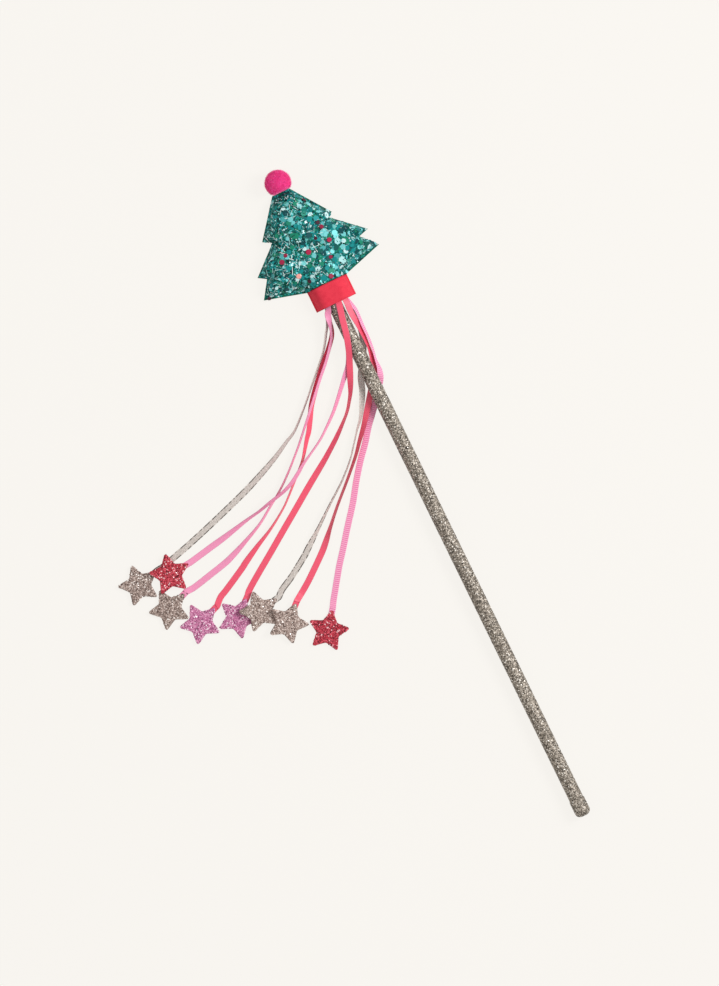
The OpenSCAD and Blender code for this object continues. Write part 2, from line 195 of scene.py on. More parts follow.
@dataclass(frozen=True)
class GroupSocket:
    """One named socket of a shared shader effect.

    Attributes:
        name: Name of the socket.
        kind: Its type name.
        value: Its value where nothing is joined to it.
    """

    name: str
    kind: str
    value: object = None


def new_group(
    name: str, inputs: Sequence[GroupSocket], outputs: Sequence[GroupSocket]
) -> tuple[Graph, bpy.types.Node, bpy.types.Node]:
    """Starts a shader node group.

    Args:
        name: The group's name.
        inputs: Its input sockets.
        outputs: Its output sockets.

    Returns:
        The graph, the node that gives the inputs and the node that takes the outputs.
    """
    tree = bpy.data.node_groups.new(name, "ShaderNodeTree")
    for side, sockets in (("INPUT", inputs), ("OUTPUT", outputs)):
        for socket in sockets:
            made = tree.interface.new_socket(name=socket.name, in_out=side, socket_type=socket.kind)
            if socket.value is not None:
                made.default_value = socket.value
    graph = Graph(tree)
    return graph, graph.add("NodeGroupInput"), graph.add("NodeGroupOutput")


class Effects:
    """Shader effects that several finishes share, each built once."""

    def __init__(self) -> None:
        """Builds the groups."""
        self.fleck = self._fleck()
        self.fibre = self._fibre()
        self.thread = self._thread()

    @staticmethod
    def _fleck() -> bpy.types.NodeTree:
        """Builds the effect that turns a chip's random shade value into its colour and gloss: painted shade,
        its own colours, painted highlight and painted glint.

        Returns:
            The group.
        """
        dark_to_middle = (0.12, 0.34)
        middle_to_light = (0.55, 0.78)
        light_to_spark = (0.88, 0.93)
        other_turns = 9.7
        middle_to_other = (0.5, 0.6)
        roughness = 0.45
        spark_gloss = 0.2
        colours = ("Dark", "Middle", "Other", "Light", "Spark")
        graph, given, out = new_group(
            "fleck_colour",
            [GroupSocket("Shade", FLOAT, 0.5)] + [GroupSocket(name, COLOUR) for name in colours],
            [GroupSocket("Color", COLOUR), GroupSocket("Roughness", FLOAT)],
        )
        shade = given.outputs["Shade"]
        other = graph.math("FRACT", graph.math("MULTIPLY", shade, other_turns))
        turned = graph.ramp(other, *middle_to_other)
        middle = graph.mix(turned, given.outputs["Middle"], given.outputs["Other"])
        # Low shade values give painted shade, middle ones the chips' own colours, high ones painted highlight
        # and the highest painted glint.
        body = graph.mix(graph.ramp(shade, *dark_to_middle), given.outputs["Dark"], middle)
        lit = graph.mix(graph.ramp(shade, *middle_to_light), body, given.outputs["Light"])
        spark = graph.ramp(shade, *light_to_spark)
        graph.feed(out.inputs["Color"], graph.mix(spark, lit, given.outputs["Spark"]))
        graph.feed(out.inputs["Roughness"], graph.math("MULTIPLY_ADD", spark, -spark_gloss, roughness))
        return graph.tree

    @staticmethod
    def _fibre() -> bpy.types.NodeTree:
        """Builds the effect of matted fibres: a tint and a height.

        Returns:
            The group.
        """
        fine_share = 0.65
        broad_share = 0.35
        broad_scale = 0.12
        shadow_to_fibre = (0.36, 0.58)
        graph, given, out = new_group(
            "matted_fibre",
            [GroupSocket("Vector", VECTOR), GroupSocket("Scale", FLOAT, 2500.0), GroupSocket("Color", COLOUR),
             GroupSocket("Shadow", COLOUR)],
            [GroupSocket("Color", COLOUR), GroupSocket("Height", FLOAT)],
        )
        place = given.outputs["Vector"]
        scale = given.outputs["Scale"]
        fine = graph.clouds(place, scale, detail=6.0, distortion=1.2)
        broad = graph.clouds(place, graph.math("MULTIPLY", scale, broad_scale), detail=3.0)
        both = graph.math(
            "ADD", graph.math("MULTIPLY", fine, fine_share), graph.math("MULTIPLY", broad, broad_share)
        )
        tint = graph.mix(graph.ramp(both, *shadow_to_fibre), given.outputs["Shadow"], given.outputs["Color"])
        graph.feed(out.inputs["Color"], tint)
        graph.feed(out.inputs["Height"], fine)
        return graph.tree

    @staticmethod
    def _thread() -> bpy.types.NodeTree:
        """Builds the effect of ribbon threads: ridges across and along, and the side strips that take the
        edge colour.

        Returns:
            The group.
        """
        edge_blur = 0.12
        graph, given, out = new_group(
            "ribbon_thread",
            [GroupSocket("Across", FLOAT), GroupSocket("Along", FLOAT), GroupSocket("Warp", FLOAT, 26.0),
             GroupSocket("Weft", FLOAT, 2.0), GroupSocket("Border", FLOAT, 0.72)],
            [GroupSocket("Warp", FLOAT), GroupSocket("Weft", FLOAT), GroupSocket("Edge", FLOAT)],
        )

        def wave(place: object, count: object) -> bpy.types.NodeSocket:
            """Adds a ridge from 0 to 1 that repeats and returns its output."""
            angle = graph.math("MULTIPLY", graph.math("MULTIPLY", place, count), FULL_TURN)
            return graph.math("MULTIPLY", graph.math("ADD", graph.math("SINE", angle), 1.0), 0.5)

        across = given.outputs["Across"]
        graph.feed(out.inputs["Warp"], wave(across, given.outputs["Warp"]))
        graph.feed(out.inputs["Weft"], wave(given.outputs["Along"], given.outputs["Weft"]))
        side = graph.math("MULTIPLY", graph.math("ABSOLUTE", graph.math("SUBTRACT", across, 0.5)), 2.0)
        border = given.outputs["Border"]
        graph.feed(out.inputs["Edge"], graph.ramp(side, border, graph.math("ADD", border, edge_blur)))
        return graph.tree


EFFECTS = Effects()


def new_material(name: str) -> tuple[bpy.types.Material, Graph, bpy.types.Node]:
    """Starts a material.

    Args:
        name: The material's name.

    Returns:
        The material, its graph and its main shader.
    """
    made = bpy.data.materials.new(name)
    made.use_nodes = True
    graph = Graph(made.node_tree)
    return made, graph, made.node_tree.nodes["Principled BSDF"]


def use_group(graph: Graph, tree: bpy.types.NodeTree, inputs: dict) -> bpy.types.NodeOutputs:
    """Places a shared effect in a material, with its own values.

    Args:
        graph: The material's graph.
        tree: The effect.
        inputs: Values or output sockets by input name.

    Returns:
        The effect's outputs.
    """
    made = graph.add("ShaderNodeGroup", node_tree=tree)
    for key, value in inputs.items():
        graph.feed(made.inputs[key], value)
    return made.outputs


def bump(
    graph: Graph, shader: bpy.types.Node, height: bpy.types.NodeSocket, depth: float, strength: float
) -> None:
    """Gives a shader relief from a height."""
    made = graph.add("ShaderNodeBump", {"Height": height, "Distance": depth, "Strength": strength})
    graph.feed(shader.inputs["Normal"], made.outputs[0])


@dataclass(frozen=True)
class Flecks:
    """Glitter: chips of one colour family that differ in shade.

    Attributes:
        name: Name of the finish.
        dark: Painted shade: colour given at random to chips that stand for those facing away from the light.
        middle: Colour of most chips, their own colour.
        light: Painted highlight: colour given at random to chips that stand for those facing the light.
        spark: Painted glint: colour given at random to the few chips that stand for those that flash.
        metallic: How metallic the chips are.
        grain: Width of a grain of the sheet under the chips.
        other: Second colour among most chips, the same one if it is left out.
        specular: How much the chips mirror.
        sheet_shade: Brightest shade value of the sheet's grains, which gives them painted shade and painted
            highlight but no painted glint.
        relief: Height of the sheet's grains.
        relief_strength: How strongly the relief shows.
    """

    name: str
    dark: Colour
    middle: Colour
    light: Colour
    spark: Colour
    metallic: float = 0.25
    grain: float = 0.4 * MM
    other: Optional[Colour] = None
    specular: float = 0.35
    sheet_shade: float = 0.85
    relief: float = 0.12 * MM
    relief_strength: float = 0.6

    def _colour(self, graph: Graph, shader: bpy.types.Node, shade: bpy.types.NodeSocket) -> None:
        """Sets colour and gloss from a shade.

        Args:
            graph: The material's graph.
            shader: Its main shader.
            shade: The shade from 0 to 1.
        """
        fleck = use_group(
            graph, EFFECTS.fleck,
            {"Shade": shade, "Dark": self.dark, "Middle": self.middle, "Other": self.other or self.middle,
             "Light": self.light, "Spark": self.spark},
        )
        graph.feed(shader.inputs["Base Color"], fleck["Color"])
        graph.feed(shader.inputs["Roughness"], fleck["Roughness"])
        shader.inputs["Metallic"].default_value = self.metallic
        shader.inputs["Specular IOR Level"].default_value = self.specular

    def chips(self) -> bpy.types.Material:
        """Builds the material of loose chips, which reads each chip's random shade value, from painted shade
        to painted glint.

        Returns:
            The material.
        """
        made, graph, shader = new_material(self.name + "_chips")
        shade = graph.add("ShaderNodeAttribute", attribute_name="shade").outputs["Fac"]
        self._colour(graph, shader, shade)
        return made

    def sheet(self) -> bpy.types.Material:
        """Builds the material of the sheet under the chips, whose grains take painted shade and painted
        highlight at random.

        Returns:
            The material.
        """
        made, graph, shader = new_material(self.name + "_sheet")
        cells = graph.add("ShaderNodeTexVoronoi", {"Vector": graph.place(), "Scale": 1 / self.grain})
        shade = graph.add("ShaderNodeSeparateColor", {"Color": cells.outputs["Color"]}).outputs[0]
        self._colour(graph, shader, graph.math("MULTIPLY", shade, self.sheet_shade))
        bump(graph, shader, cells.outputs["Distance"], self.relief, self.relief_strength)
        return made


@dataclass(frozen=True)
class Fibre:
    """Felt and yarn: matted fibres of one colour.

    Attributes:
        name: Name of the finish.
        colour: Colour of the fibres.
        shadow: Colour between them.
        scale: Fineness of the fibres.
        sheen: How much light the loose ends catch.
        roughness: How matt the fibres are.
        specular: How much they mirror.
        relief: Height of the fibres.
        relief_strength: How strongly the relief shows.
    """

    name: str
    colour: Colour
    shadow: Colour
    scale: float = 2600.0
    sheen: float = 0.25
    roughness: float = 0.85
    specular: float = 0.2
    relief: float = 0.1 * MM
    relief_strength: float = 0.5

    def material(self) -> bpy.types.Material:
        """Builds the finish.

        Returns:
            The material.
        """
        made, graph, shader = new_material(self.name)
        fibres = use_group(
            graph, EFFECTS.fibre,
            {"Vector": graph.place(), "Scale": self.scale, "Color": self.colour, "Shadow": self.shadow},
        )
        graph.feed(shader.inputs["Base Color"], fibres["Color"])
        shader.inputs["Roughness"].default_value = self.roughness
        shader.inputs["Specular IOR Level"].default_value = self.specular
        shader.inputs["Sheen Weight"].default_value = self.sheen
        shader.inputs["Sheen Tint"].default_value = self.colour
        bump(graph, shader, fibres["Height"], self.relief, self.relief_strength)
        return made


@dataclass(frozen=True)
class WeaveValues:
    """Values that set one weave apart.

    Attributes:
        weft: Ridges across the ribbon on a millimetre of its length.
        border: Where the side strip begins, from 0 in the middle to 1 at the side.
        groove_shade_and_grain: Heights of thread between which painted shade turns into the ridge colour; for
            the sheer weave, of its darker grain.
        roughness: How matt the threads are.
        relief: Height of the threads.
        relief_strength: How strongly the relief shows.
    """

    weft: float
    border: float
    groove_shade_and_grain: Span
    roughness: float
    relief: float
    relief_strength: float


class Weave(Enum):
    """How a ribbon is woven."""

    SATIN = WeaveValues(4.0, 0.9, (0.0, 0.7), 0.42, 0.03 * MM, 0.25)
    RIBBED = WeaveValues(1.0, 0.78, (0.15, 0.75), 0.6, 0.1 * MM, 0.6)
    SHEER = WeaveValues(0.7, 0.64, (0.4, 0.62), 0.4, 0.05 * MM, 0.4)


@dataclass(frozen=True)
class RibbonFinish:
    """A woven ribbon.

    Attributes:
        name: Name of the finish.
        weave: How it is woven.
        colour: Colour of the ridges.
        groove_shade_and_grain: Colour between the ridges: painted shade on satin and ribbed ribbons, darker
            random grain on the sheer one.
        edge: Side strips: sheer dark thread, ribbed woven edge, satin woven edge deepened with painted shade.
        warp: Threads side by side along the ribbon.
        sheen: How much light the threads catch.
        grain_scale: Fineness of a sheer ribbon's grain.
        fray: Lengths in millimetres between which a sheer ribbon's edges begin to show dashes.
        dash_scale: Fineness of the dashes.
        dash: Heights of noise between which a dash begins.
        thread: Heights of warp between which a sheer ribbon's thread begins.
        thread_cover: How much such a thread adds to the cover.
        gap_cover: How much the gaps between the threads cover.
    """

    name: str
    weave: Weave
    colour: Colour
    groove_shade_and_grain: Colour
    edge: Colour
    warp: float = 18.0
    sheen: float = 0.2
    grain_scale: float = 1900.0
    fray: Span = (60.0, 115.0)
    dash_scale: float = 620.0
    dash: Span = (0.43, 0.5)
    thread: Span = (0.3, 0.8)
    thread_cover: float = 0.25
    gap_cover: float = 0.6

    def material(self) -> bpy.types.Material:
        """Builds the finish, which reads the ribbon's own map.

        Returns:
            The material.
        """
        made, graph, shader = new_material(self.name)
        chart = graph.add("ShaderNodeUVMap", uv_map="run").outputs[0]
        across, along, _ = graph.add("ShaderNodeSeparateXYZ", {0: chart}).outputs
        weave = self.weave.value
        threads = use_group(
            graph, EFFECTS.thread,
            {"Across": across, "Along": along, "Warp": self.warp, "Weft": weave.weft, "Border": weave.border},
        )
        shader.inputs["Sheen Weight"].default_value = self.sheen
        shader.inputs["Sheen Tint"].default_value = self.colour
        shader.inputs["Roughness"].default_value = weave.roughness
        if self.weave is Weave.SHEER:
            height = self._sheer(graph, shader, threads, along)
        else:
            height = self._dense(graph, shader, threads)
        bump(graph, shader, height, weave.relief, weave.relief_strength)
        return made

    def _dense(
        self, graph: Graph, shader: bpy.types.Node, threads: bpy.types.NodeOutputs
    ) -> bpy.types.NodeSocket:
        """Colours a ribbon whose threads lie side by side.

        Args:
            graph: The material's graph.
            shader: Its main shader.
            threads: Outputs of the thread effect.

        Returns:
            The height of the threads.
        """
        height = threads["Warp" if self.weave is Weave.SATIN else "Weft"]
        # Between the ridges lies painted shade.
        body = graph.mix(graph.ramp(height, *self.weave.value.groove_shade_and_grain), self.groove_shade_and_grain, self.colour)
        # Side strips in the edge colour; on the satin ribbons that is painted shade over a slightly darker
        # woven edge.
        graph.feed(shader.inputs["Base Color"], graph.mix(threads["Edge"], body, self.edge))
        return height

    def _sheer(
        self, graph: Graph, shader: bpy.types.Node, threads: bpy.types.NodeOutputs,
        along: bpy.types.NodeSocket,
    ) -> bpy.types.NodeSocket:
        """Colours a see-through middle between edges that hold dashes of dark thread.

        Args:
            graph: The material's graph.
            shader: Its main shader.
            threads: Outputs of the thread effect.
            along: Length from the ribbon's start, in millimetres.

        Returns:
            The height of the threads.
        """
        place = graph.place()
        grain = graph.clouds(place, self.grain_scale, detail=3.0)
        drawn = graph.clouds(place, self.dash_scale, detail=2.0)
        frayed = graph.math("MULTIPLY", threads["Edge"], graph.ramp(along, *self.fray))
        dash = graph.math("MULTIPLY", frayed, graph.ramp(drawn, *self.dash))
        body = graph.mix(graph.ramp(grain, *self.weave.value.groove_shade_and_grain), self.groove_shade_and_grain, self.colour)
        graph.feed(shader.inputs["Base Color"], graph.mix(dash, body, self.edge))
        thread = graph.math("MULTIPLY", graph.ramp(threads["Warp"], *self.thread), self.thread_cover)
        cover = graph.math("MAXIMUM", graph.math("ADD", thread, self.gap_cover), threads["Edge"])
        graph.feed(shader.inputs["Alpha"], cover)
        return grain


@dataclass(frozen=True)
class Timber:
    """The bare dowel inside the cover.

    Attributes:
        name: Name of the finish.
        early: Colour of the pale wood.
        late: Colour of the dark wood.
        scale: Fineness of the grain.
        drawn: How much the grain is drawn out along the stick.
        late_to_early: Heights of noise between which the dark wood turns into the pale.
        roughness: How matt the wood is.
        relief: Height of the grain.
        relief_strength: How strongly the relief shows.
    """

    name: str = "dowel"
    early: Colour = srgb(226, 196, 150)
    late: Colour = srgb(186, 146, 98)
    scale: float = 1800.0
    drawn: float = 0.04
    late_to_early: Span = (0.35, 0.65)
    roughness: float = 0.65
    relief: float = 0.05 * MM
    relief_strength: float = 0.4

    def material(self) -> bpy.types.Material:
        """Builds the finish, with grain along the stick.

        Returns:
            The material.
        """
        made, graph, shader = new_material(self.name)
        stretch = {"Vector": graph.place(), "Scale": (1.0, self.drawn, 1.0)}
        place = graph.add("ShaderNodeMapping", stretch).outputs[0]
        grain = graph.clouds(place, self.scale, detail=5.0)
        wood = graph.mix(graph.ramp(grain, *self.late_to_early), self.late, self.early)
        graph.feed(shader.inputs["Base Color"], wood)
        shader.inputs["Roughness"].default_value = self.roughness
        bump(graph, shader, grain, self.relief, self.relief_strength)
        return made


class ChipShape(Enum):
    """Shapes that are strewn over a surface."""

    FLAKE = "flake"
    SEQUIN = "sequin"
    STRAND = "strand"
    FIBRE = "fibre"


@dataclass(frozen=True)
class Strewing:
    """How chips lie on a surface.

    Attributes:
        shape: Shape of a chip.
        per_area: Most chips on a square metre.
        apart: Least distance between two chips.
        length: Length of a chip.
        breadth: Breadth of a chip.
        height: Thickness of a chip, or length of a fibre.
        spread: Share by which sizes differ.
        tilt: Largest lean from the surface.
        seed: Seed of everything random.
    """

    shape: ChipShape
    per_area: float
    apart: float
    length: float
    breadth: float
    height: float
    spread: float = 0.3
    tilt: float = 0.5
    seed: int = 1

    def _chip(self, graph: Graph) -> bpy.types.NodeSocket:
        """Adds one chip of unit size.

        Args:
            graph: The tree that strews it.

        Returns:
            The chip's mesh.
        """
        if self.shape is ChipShape.STRAND:
            return graph.add("GeometryNodeMeshCube", {"Size": (1.0, 1.0, 1.0)}).outputs[0]
        if self.shape is ChipShape.SEQUIN:
            form = {"Vertices": 6, "Radius": 0.5, "Depth": 1.0}
            return graph.add("GeometryNodeMeshCylinder", form, fill_type="NGON").outputs[0]
        sides = 4 if self.shape is ChipShape.FLAKE else 3
        form = {"Vertices": sides, "Radius Top": 0.0, "Radius Bottom": 0.5, "Depth": 1.0}
        return graph.add("GeometryNodeMeshCone", form, fill_type="NGON").outputs[0]

    @staticmethod
    def _turn(
        graph: Graph, given: bpy.types.NodeOutputs, upright: bpy.types.NodeSocket
    ) -> bpy.types.NodeSocket:
        """Adds a random turn about the surface's normal and a random lean from it.

        Args:
            graph: The tree that strews the chips.
            given: The tree's inputs.
            upright: Rotation of a chip that lies level on the surface.

        Returns:
            The rotation of each chip.
        """
        lean = graph.add("ShaderNodeCombineXYZ", {0: given["Tilt"], 1: given["Tilt"], 2: math.pi}).outputs[0]
        back = graph.add("ShaderNodeVectorMath", {0: lean, "Scale": -1.0}, operation="SCALE").outputs[0]
        turn = graph.add(
            "FunctionNodeRandomValue", {0: back, 1: lean, "Seed": given["Seed"]}, data_type="FLOAT_VECTOR"
        ).outputs[0]
        rotation = graph.add("FunctionNodeEulerToRotation", {0: turn}).outputs[0]
        turned = graph.add("FunctionNodeRotateRotation", {0: upright, 1: rotation}, rotation_space="LOCAL")
        return turned.outputs[0]

    @staticmethod
    def _size(graph: Graph, given: bpy.types.NodeOutputs) -> bpy.types.NodeSocket:
        """Adds the sizes of the chips, which differ by the spread.

        Args:
            graph: The tree that strews the chips.
            given: The tree's inputs.

        Returns:
            The size of each chip.
        """
        size_seed = 7.0
        growth = graph.add(
            "FunctionNodeRandomValue",
            {2: graph.math("SUBTRACT", 1.0, given["Spread"]), 3: graph.math("ADD", 1.0, given["Spread"]),
             "Seed": graph.math("ADD", given["Seed"], size_seed)},
            data_type="FLOAT",
        ).outputs[1]
        sides = {0: given["Length"], 1: given["Breadth"], 2: given["Height"]}
        even = graph.add("ShaderNodeCombineXYZ", sides).outputs[0]
        return graph.add("ShaderNodeVectorMath", {0: even, "Scale": growth}, operation="SCALE").outputs[0]

    def tree(self) -> bpy.types.NodeTree:
        """Builds the node tree that strews the chips.

        Returns:
            The tree, whose inputs are the sizes of this strewing.
        """
        shade_seed = 19.0
        tree = bpy.data.node_groups.new("strew_" + self.shape.value, "GeometryNodeTree")
        sockets = (
            ("Surface", GEOMETRY), ("Per Area", FLOAT), ("Apart", FLOAT), ("Length", FLOAT),
            ("Breadth", FLOAT), ("Height", FLOAT), ("Spread", FLOAT), ("Tilt", FLOAT),
            ("Seed", "NodeSocketInt"), ("Finish", "NodeSocketMaterial"),
        )
        for name, kind in sockets:
            tree.interface.new_socket(name=name, in_out="INPUT", socket_type=kind)
        tree.interface.new_socket(name="Chips", in_out="OUTPUT", socket_type=GEOMETRY)
        graph = Graph(tree)
        given = graph.add("NodeGroupInput").outputs
        cover = graph.add("GeometryNodeInputNamedAttribute", {"Name": "cover"}, data_type="FLOAT").outputs[0]
        points = graph.add(
            "GeometryNodeDistributePointsOnFaces",
            {"Mesh": given["Surface"], "Distance Min": given["Apart"], "Density Max": given["Per Area"],
             "Density Factor": cover, "Seed": given["Seed"]},
            distribute_method="POISSON",
        ).outputs
        chips = graph.add(
            "GeometryNodeInstanceOnPoints",
            {"Points": points["Points"], "Instance": self._chip(graph),
             "Rotation": self._turn(graph, given, points["Rotation"]), "Scale": self._size(graph, given)},
        ).outputs[0]
        # Each chip gets a random shade value, by which its finish picks painted shade, its own colour,
        # painted highlight and painted glint.
        drawn = {"Seed": graph.math("ADD", given["Seed"], shade_seed)}
        shade = graph.add("FunctionNodeRandomValue", drawn, data_type="FLOAT").outputs[1]
        chips = graph.add(
            "GeometryNodeStoreNamedAttribute", {"Geometry": chips, "Name": "shade", "Value": shade},
            data_type="FLOAT", domain="INSTANCE",
        ).outputs[0]
        chips = graph.add("GeometryNodeRealizeInstances", {0: chips}).outputs[0]
        chips = graph.add("GeometryNodeSetShadeSmooth", {0: chips, "Shade Smooth": False}).outputs[0]
        chips = graph.add("GeometryNodeSetMaterial", {0: chips, "Material": given["Finish"]}).outputs[0]
        graph.add("NodeGroupOutput", {0: chips})
        return tree

    def strew(self, name: str, surface: "Surface", finish: bpy.types.Material) -> bpy.types.Object:
        """Strews chips over a surface.

        Args:
            name: Name of the new piece.
            surface: The surface, which isn't kept.
            finish: Material of the chips.

        Returns:
            The chips as one plain mesh.
        """
        carrier = surface.carrier(name + "_carrier")
        tree = self.tree()
        strewn = carrier.modifiers.new("strew", "NODES")
        strewn.node_group = tree
        values = {
            "Per Area": self.per_area, "Apart": self.apart, "Length": self.length, "Breadth": self.breadth,
            "Height": self.height, "Spread": self.spread, "Tilt": self.tilt, "Seed": self.seed,
            "Finish": finish,
        }
        for item in tree.interface.items_tree:
            if item.in_out == "INPUT" and item.name in values:
                strewn[item.identifier] = values[item.name]
        graph = bpy.context.evaluated_depsgraph_get()
        mesh = bpy.data.meshes.new_from_object(carrier.evaluated_get(graph), depsgraph=graph)
        bpy.data.objects.remove(carrier)
        mesh.name = name
        piece = bpy.data.objects.new(name, mesh)
        bpy.context.scene.collection.objects.link(piece)
        return piece


@dataclass
class Surface:
    """Points and faces of a mesh in the making, with an optional cover for strewing.

    Attributes:
        points: Places of its points.
        faces: Its faces, as numbers of points.
        cover: Share of the most chips at each point, all 1 if empty.
    """

    points: list = field(default_factory=list)
    faces: list = field(default_factory=list)
    cover: list = field(default_factory=list)

    def ring_strip(self, first: int, second: int, count: int) -> None:
        """Adds faces between two closed rings of points.

        Args:
            first: First point of one ring.
            second: First point of the other.
            count: Points in each ring.
        """
        for i in range(count):
            j = (i + 1) % count
            self.faces.append((first + i, first + j, second + j, second + i))

    def fan(self, middle: int, first: int, count: int) -> None:
        """Adds faces from one point to a closed ring."""
        for i in range(count):
            self.faces.append((middle, first + i, first + (i + 1) % count))

    def end_faces(self, first: int, count: int) -> None:
        """Closes a flat ring, whose points run along one face and back along the other."""
        for i in range(count // 2 - 1):
            self.faces.append((first + i, first + i + 1, first + count - 2 - i, first + count - 1 - i))

    def carrier(self, name: str) -> bpy.types.Object:
        """Makes an object that chips can be strewn on.

        Args:
            name: Name of the object.

        Returns:
            The object, which holds the cover.
        """
        made = self.piece(name, None)
        values = made.data.attributes.new("cover", "FLOAT", "POINT")
        values.data.foreach_set("value", self.cover or [1.0] * len(self.points))
        return made

    def piece(self, name: str, finish: Optional[bpy.types.Material], smooth: bool = True) -> bpy.types.Object:
        """Makes the mesh.

        Args:
            name: Name of the piece.
            finish: Its material.
            smooth: Whether faces are shaded smooth.

        Returns:
            The piece, at the origin, with faces that point outwards.
        """
        mesh = bpy.data.meshes.new(name)
        mesh.from_pydata([tuple(p) for p in self.points], [], self.faces)
        work = bmesh.new()
        work.from_mesh(mesh)
        bmesh.ops.recalc_face_normals(work, faces=work.faces)
        work.to_mesh(mesh)
        work.free()
        mesh.polygons.foreach_set("use_smooth", [smooth] * len(mesh.polygons))
        if finish is not None:
            mesh.materials.append(finish)
        made = bpy.data.objects.new(name, mesh)
        bpy.context.scene.collection.objects.link(made)
        return made


@dataclass(frozen=True)
class Unevenness:
    """A smooth, fixed unevenness of a handmade surface.

    Attributes:
        scale: How close its bumps are.
        amount: How high they are.
    """

    scale: float
    amount: float

    def at(self, point: Sequence[float]) -> float:
        """Returns the height at a place."""
        return self.amount * noise.noise(Vector(point) * self.scale)


def set_on(piece: bpy.types.Object, body: str, slot: str, *nodes: str) -> bpy.types.Object:
    """Sets a finished piece on its body.

    Args:
        piece: The piece.
        body: Body that it moves with.
        slot: The record's material slot; not used.
        *nodes: Solids that it stands for.

    Returns:
        The piece.
    """
    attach(piece, body)
    if nodes:
        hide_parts(*nodes)
    LOG.info("%s on %s, %d faces", piece.name, body, len(piece.data.polygons))
    return piece


def dress_node(node: str, finish: bpy.types.Material) -> None:
    """Gives a solid that stays in view its material.

    Args:
        node: Name of the solid.
        finish: The material.
    """
    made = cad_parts[node]
    made.data.materials.clear()
    made.data.materials.append(finish)
    LOG.info("%s dressed as %s", node, finish.name)


# Glitter colours: painted shade, own colour, painted highlight and painted glint, given at random to chips
# and grains; other is a second own colour.
STICK_FLECKS = Flecks(
    "stick_glitter", srgb(52, 46, 40), srgb(128, 119, 108), srgb(196, 186, 174), srgb(255, 250, 242),
    grain=0.5 * MM,
)
GOLD_FLECKS = Flecks(
    "gold_glitter", srgb(92, 74, 68), srgb(158, 138, 130), srgb(212, 195, 187), srgb(255, 248, 244)
)
RED_FLECKS = Flecks(
    "red_glitter", srgb(96, 14, 30), srgb(180, 42, 60), srgb(222, 92, 108), srgb(252, 212, 216)
)
PINK_FLECKS = Flecks(
    "pink_glitter", srgb(138, 68, 110), srgb(200, 118, 162), srgb(234, 178, 208), srgb(254, 238, 248)
)
TREE_FLECKS = Flecks(
    "tree_glitter", srgb(0, 40, 46), srgb(8, 108, 108), srgb(56, 178, 178), srgb(222, 250, 252),
    metallic=0.3, grain=0.7 * MM, other=srgb(14, 112, 84), specular=0.15,
)
SEQUIN_FLECKS = Flecks(
    "tree_sequins", srgb(2, 72, 78), srgb(12, 140, 142), srgb(120, 212, 214), srgb(204, 242, 244),
    metallic=0.15, other=srgb(18, 132, 104), specular=0.25,
)
TINSEL_FLECKS = Flecks(
    "tree_tinsel", srgb(2, 26, 30), srgb(16, 90, 88), srgb(184, 226, 226), srgb(248, 255, 255),
    metallic=0.3, specular=0.2,
)
BERRY_FLECKS = Flecks(
    "tree_berries", srgb(62, 16, 38), srgb(140, 26, 62), srgb(182, 36, 78), srgb(250, 172, 164)
)
POMPOM_ENDS = Flecks(
    "pompom_ends", srgb(238, 62, 146), srgb(252, 84, 168), srgb(255, 110, 184), srgb(255, 150, 204),
    metallic=0.0,
)
TREE_FELT = Fibre("tree_felt", srgb(36, 126, 104), srgb(22, 92, 78))
BAND_FELT = Fibre("band_felt", srgb(236, 62, 82), srgb(222, 50, 72), scale=3200.0)
POMPOM_YARN = Fibre("pompom_yarn", srgb(248, 82, 164), srgb(226, 50, 138), sheen=0.4)
# Ribbon colours: ridges; between them painted shade (darker grain on the sheer ribbon); side strips (painted
# shade on the satin ribbons, dark thread on the sheer one, woven edge on the ribbed one).
CORAL = RibbonFinish("coral_satin", Weave.SATIN, srgb(246, 92, 120), srgb(236, 76, 106), srgb(146, 34, 62))
PINK = RibbonFinish("pink_satin", Weave.SATIN, srgb(248, 158, 196), srgb(240, 142, 186), srgb(170, 84, 122))
PINK_RIBBED = RibbonFinish(
    "pink_ribbed", Weave.RIBBED, srgb(252, 176, 208), srgb(234, 122, 174), srgb(246, 156, 196)
)
SILVER = RibbonFinish(
    "silver_sheer", Weave.SHEER, srgb(228, 219, 213), srgb(200, 190, 183), srgb(74, 64, 56)
)


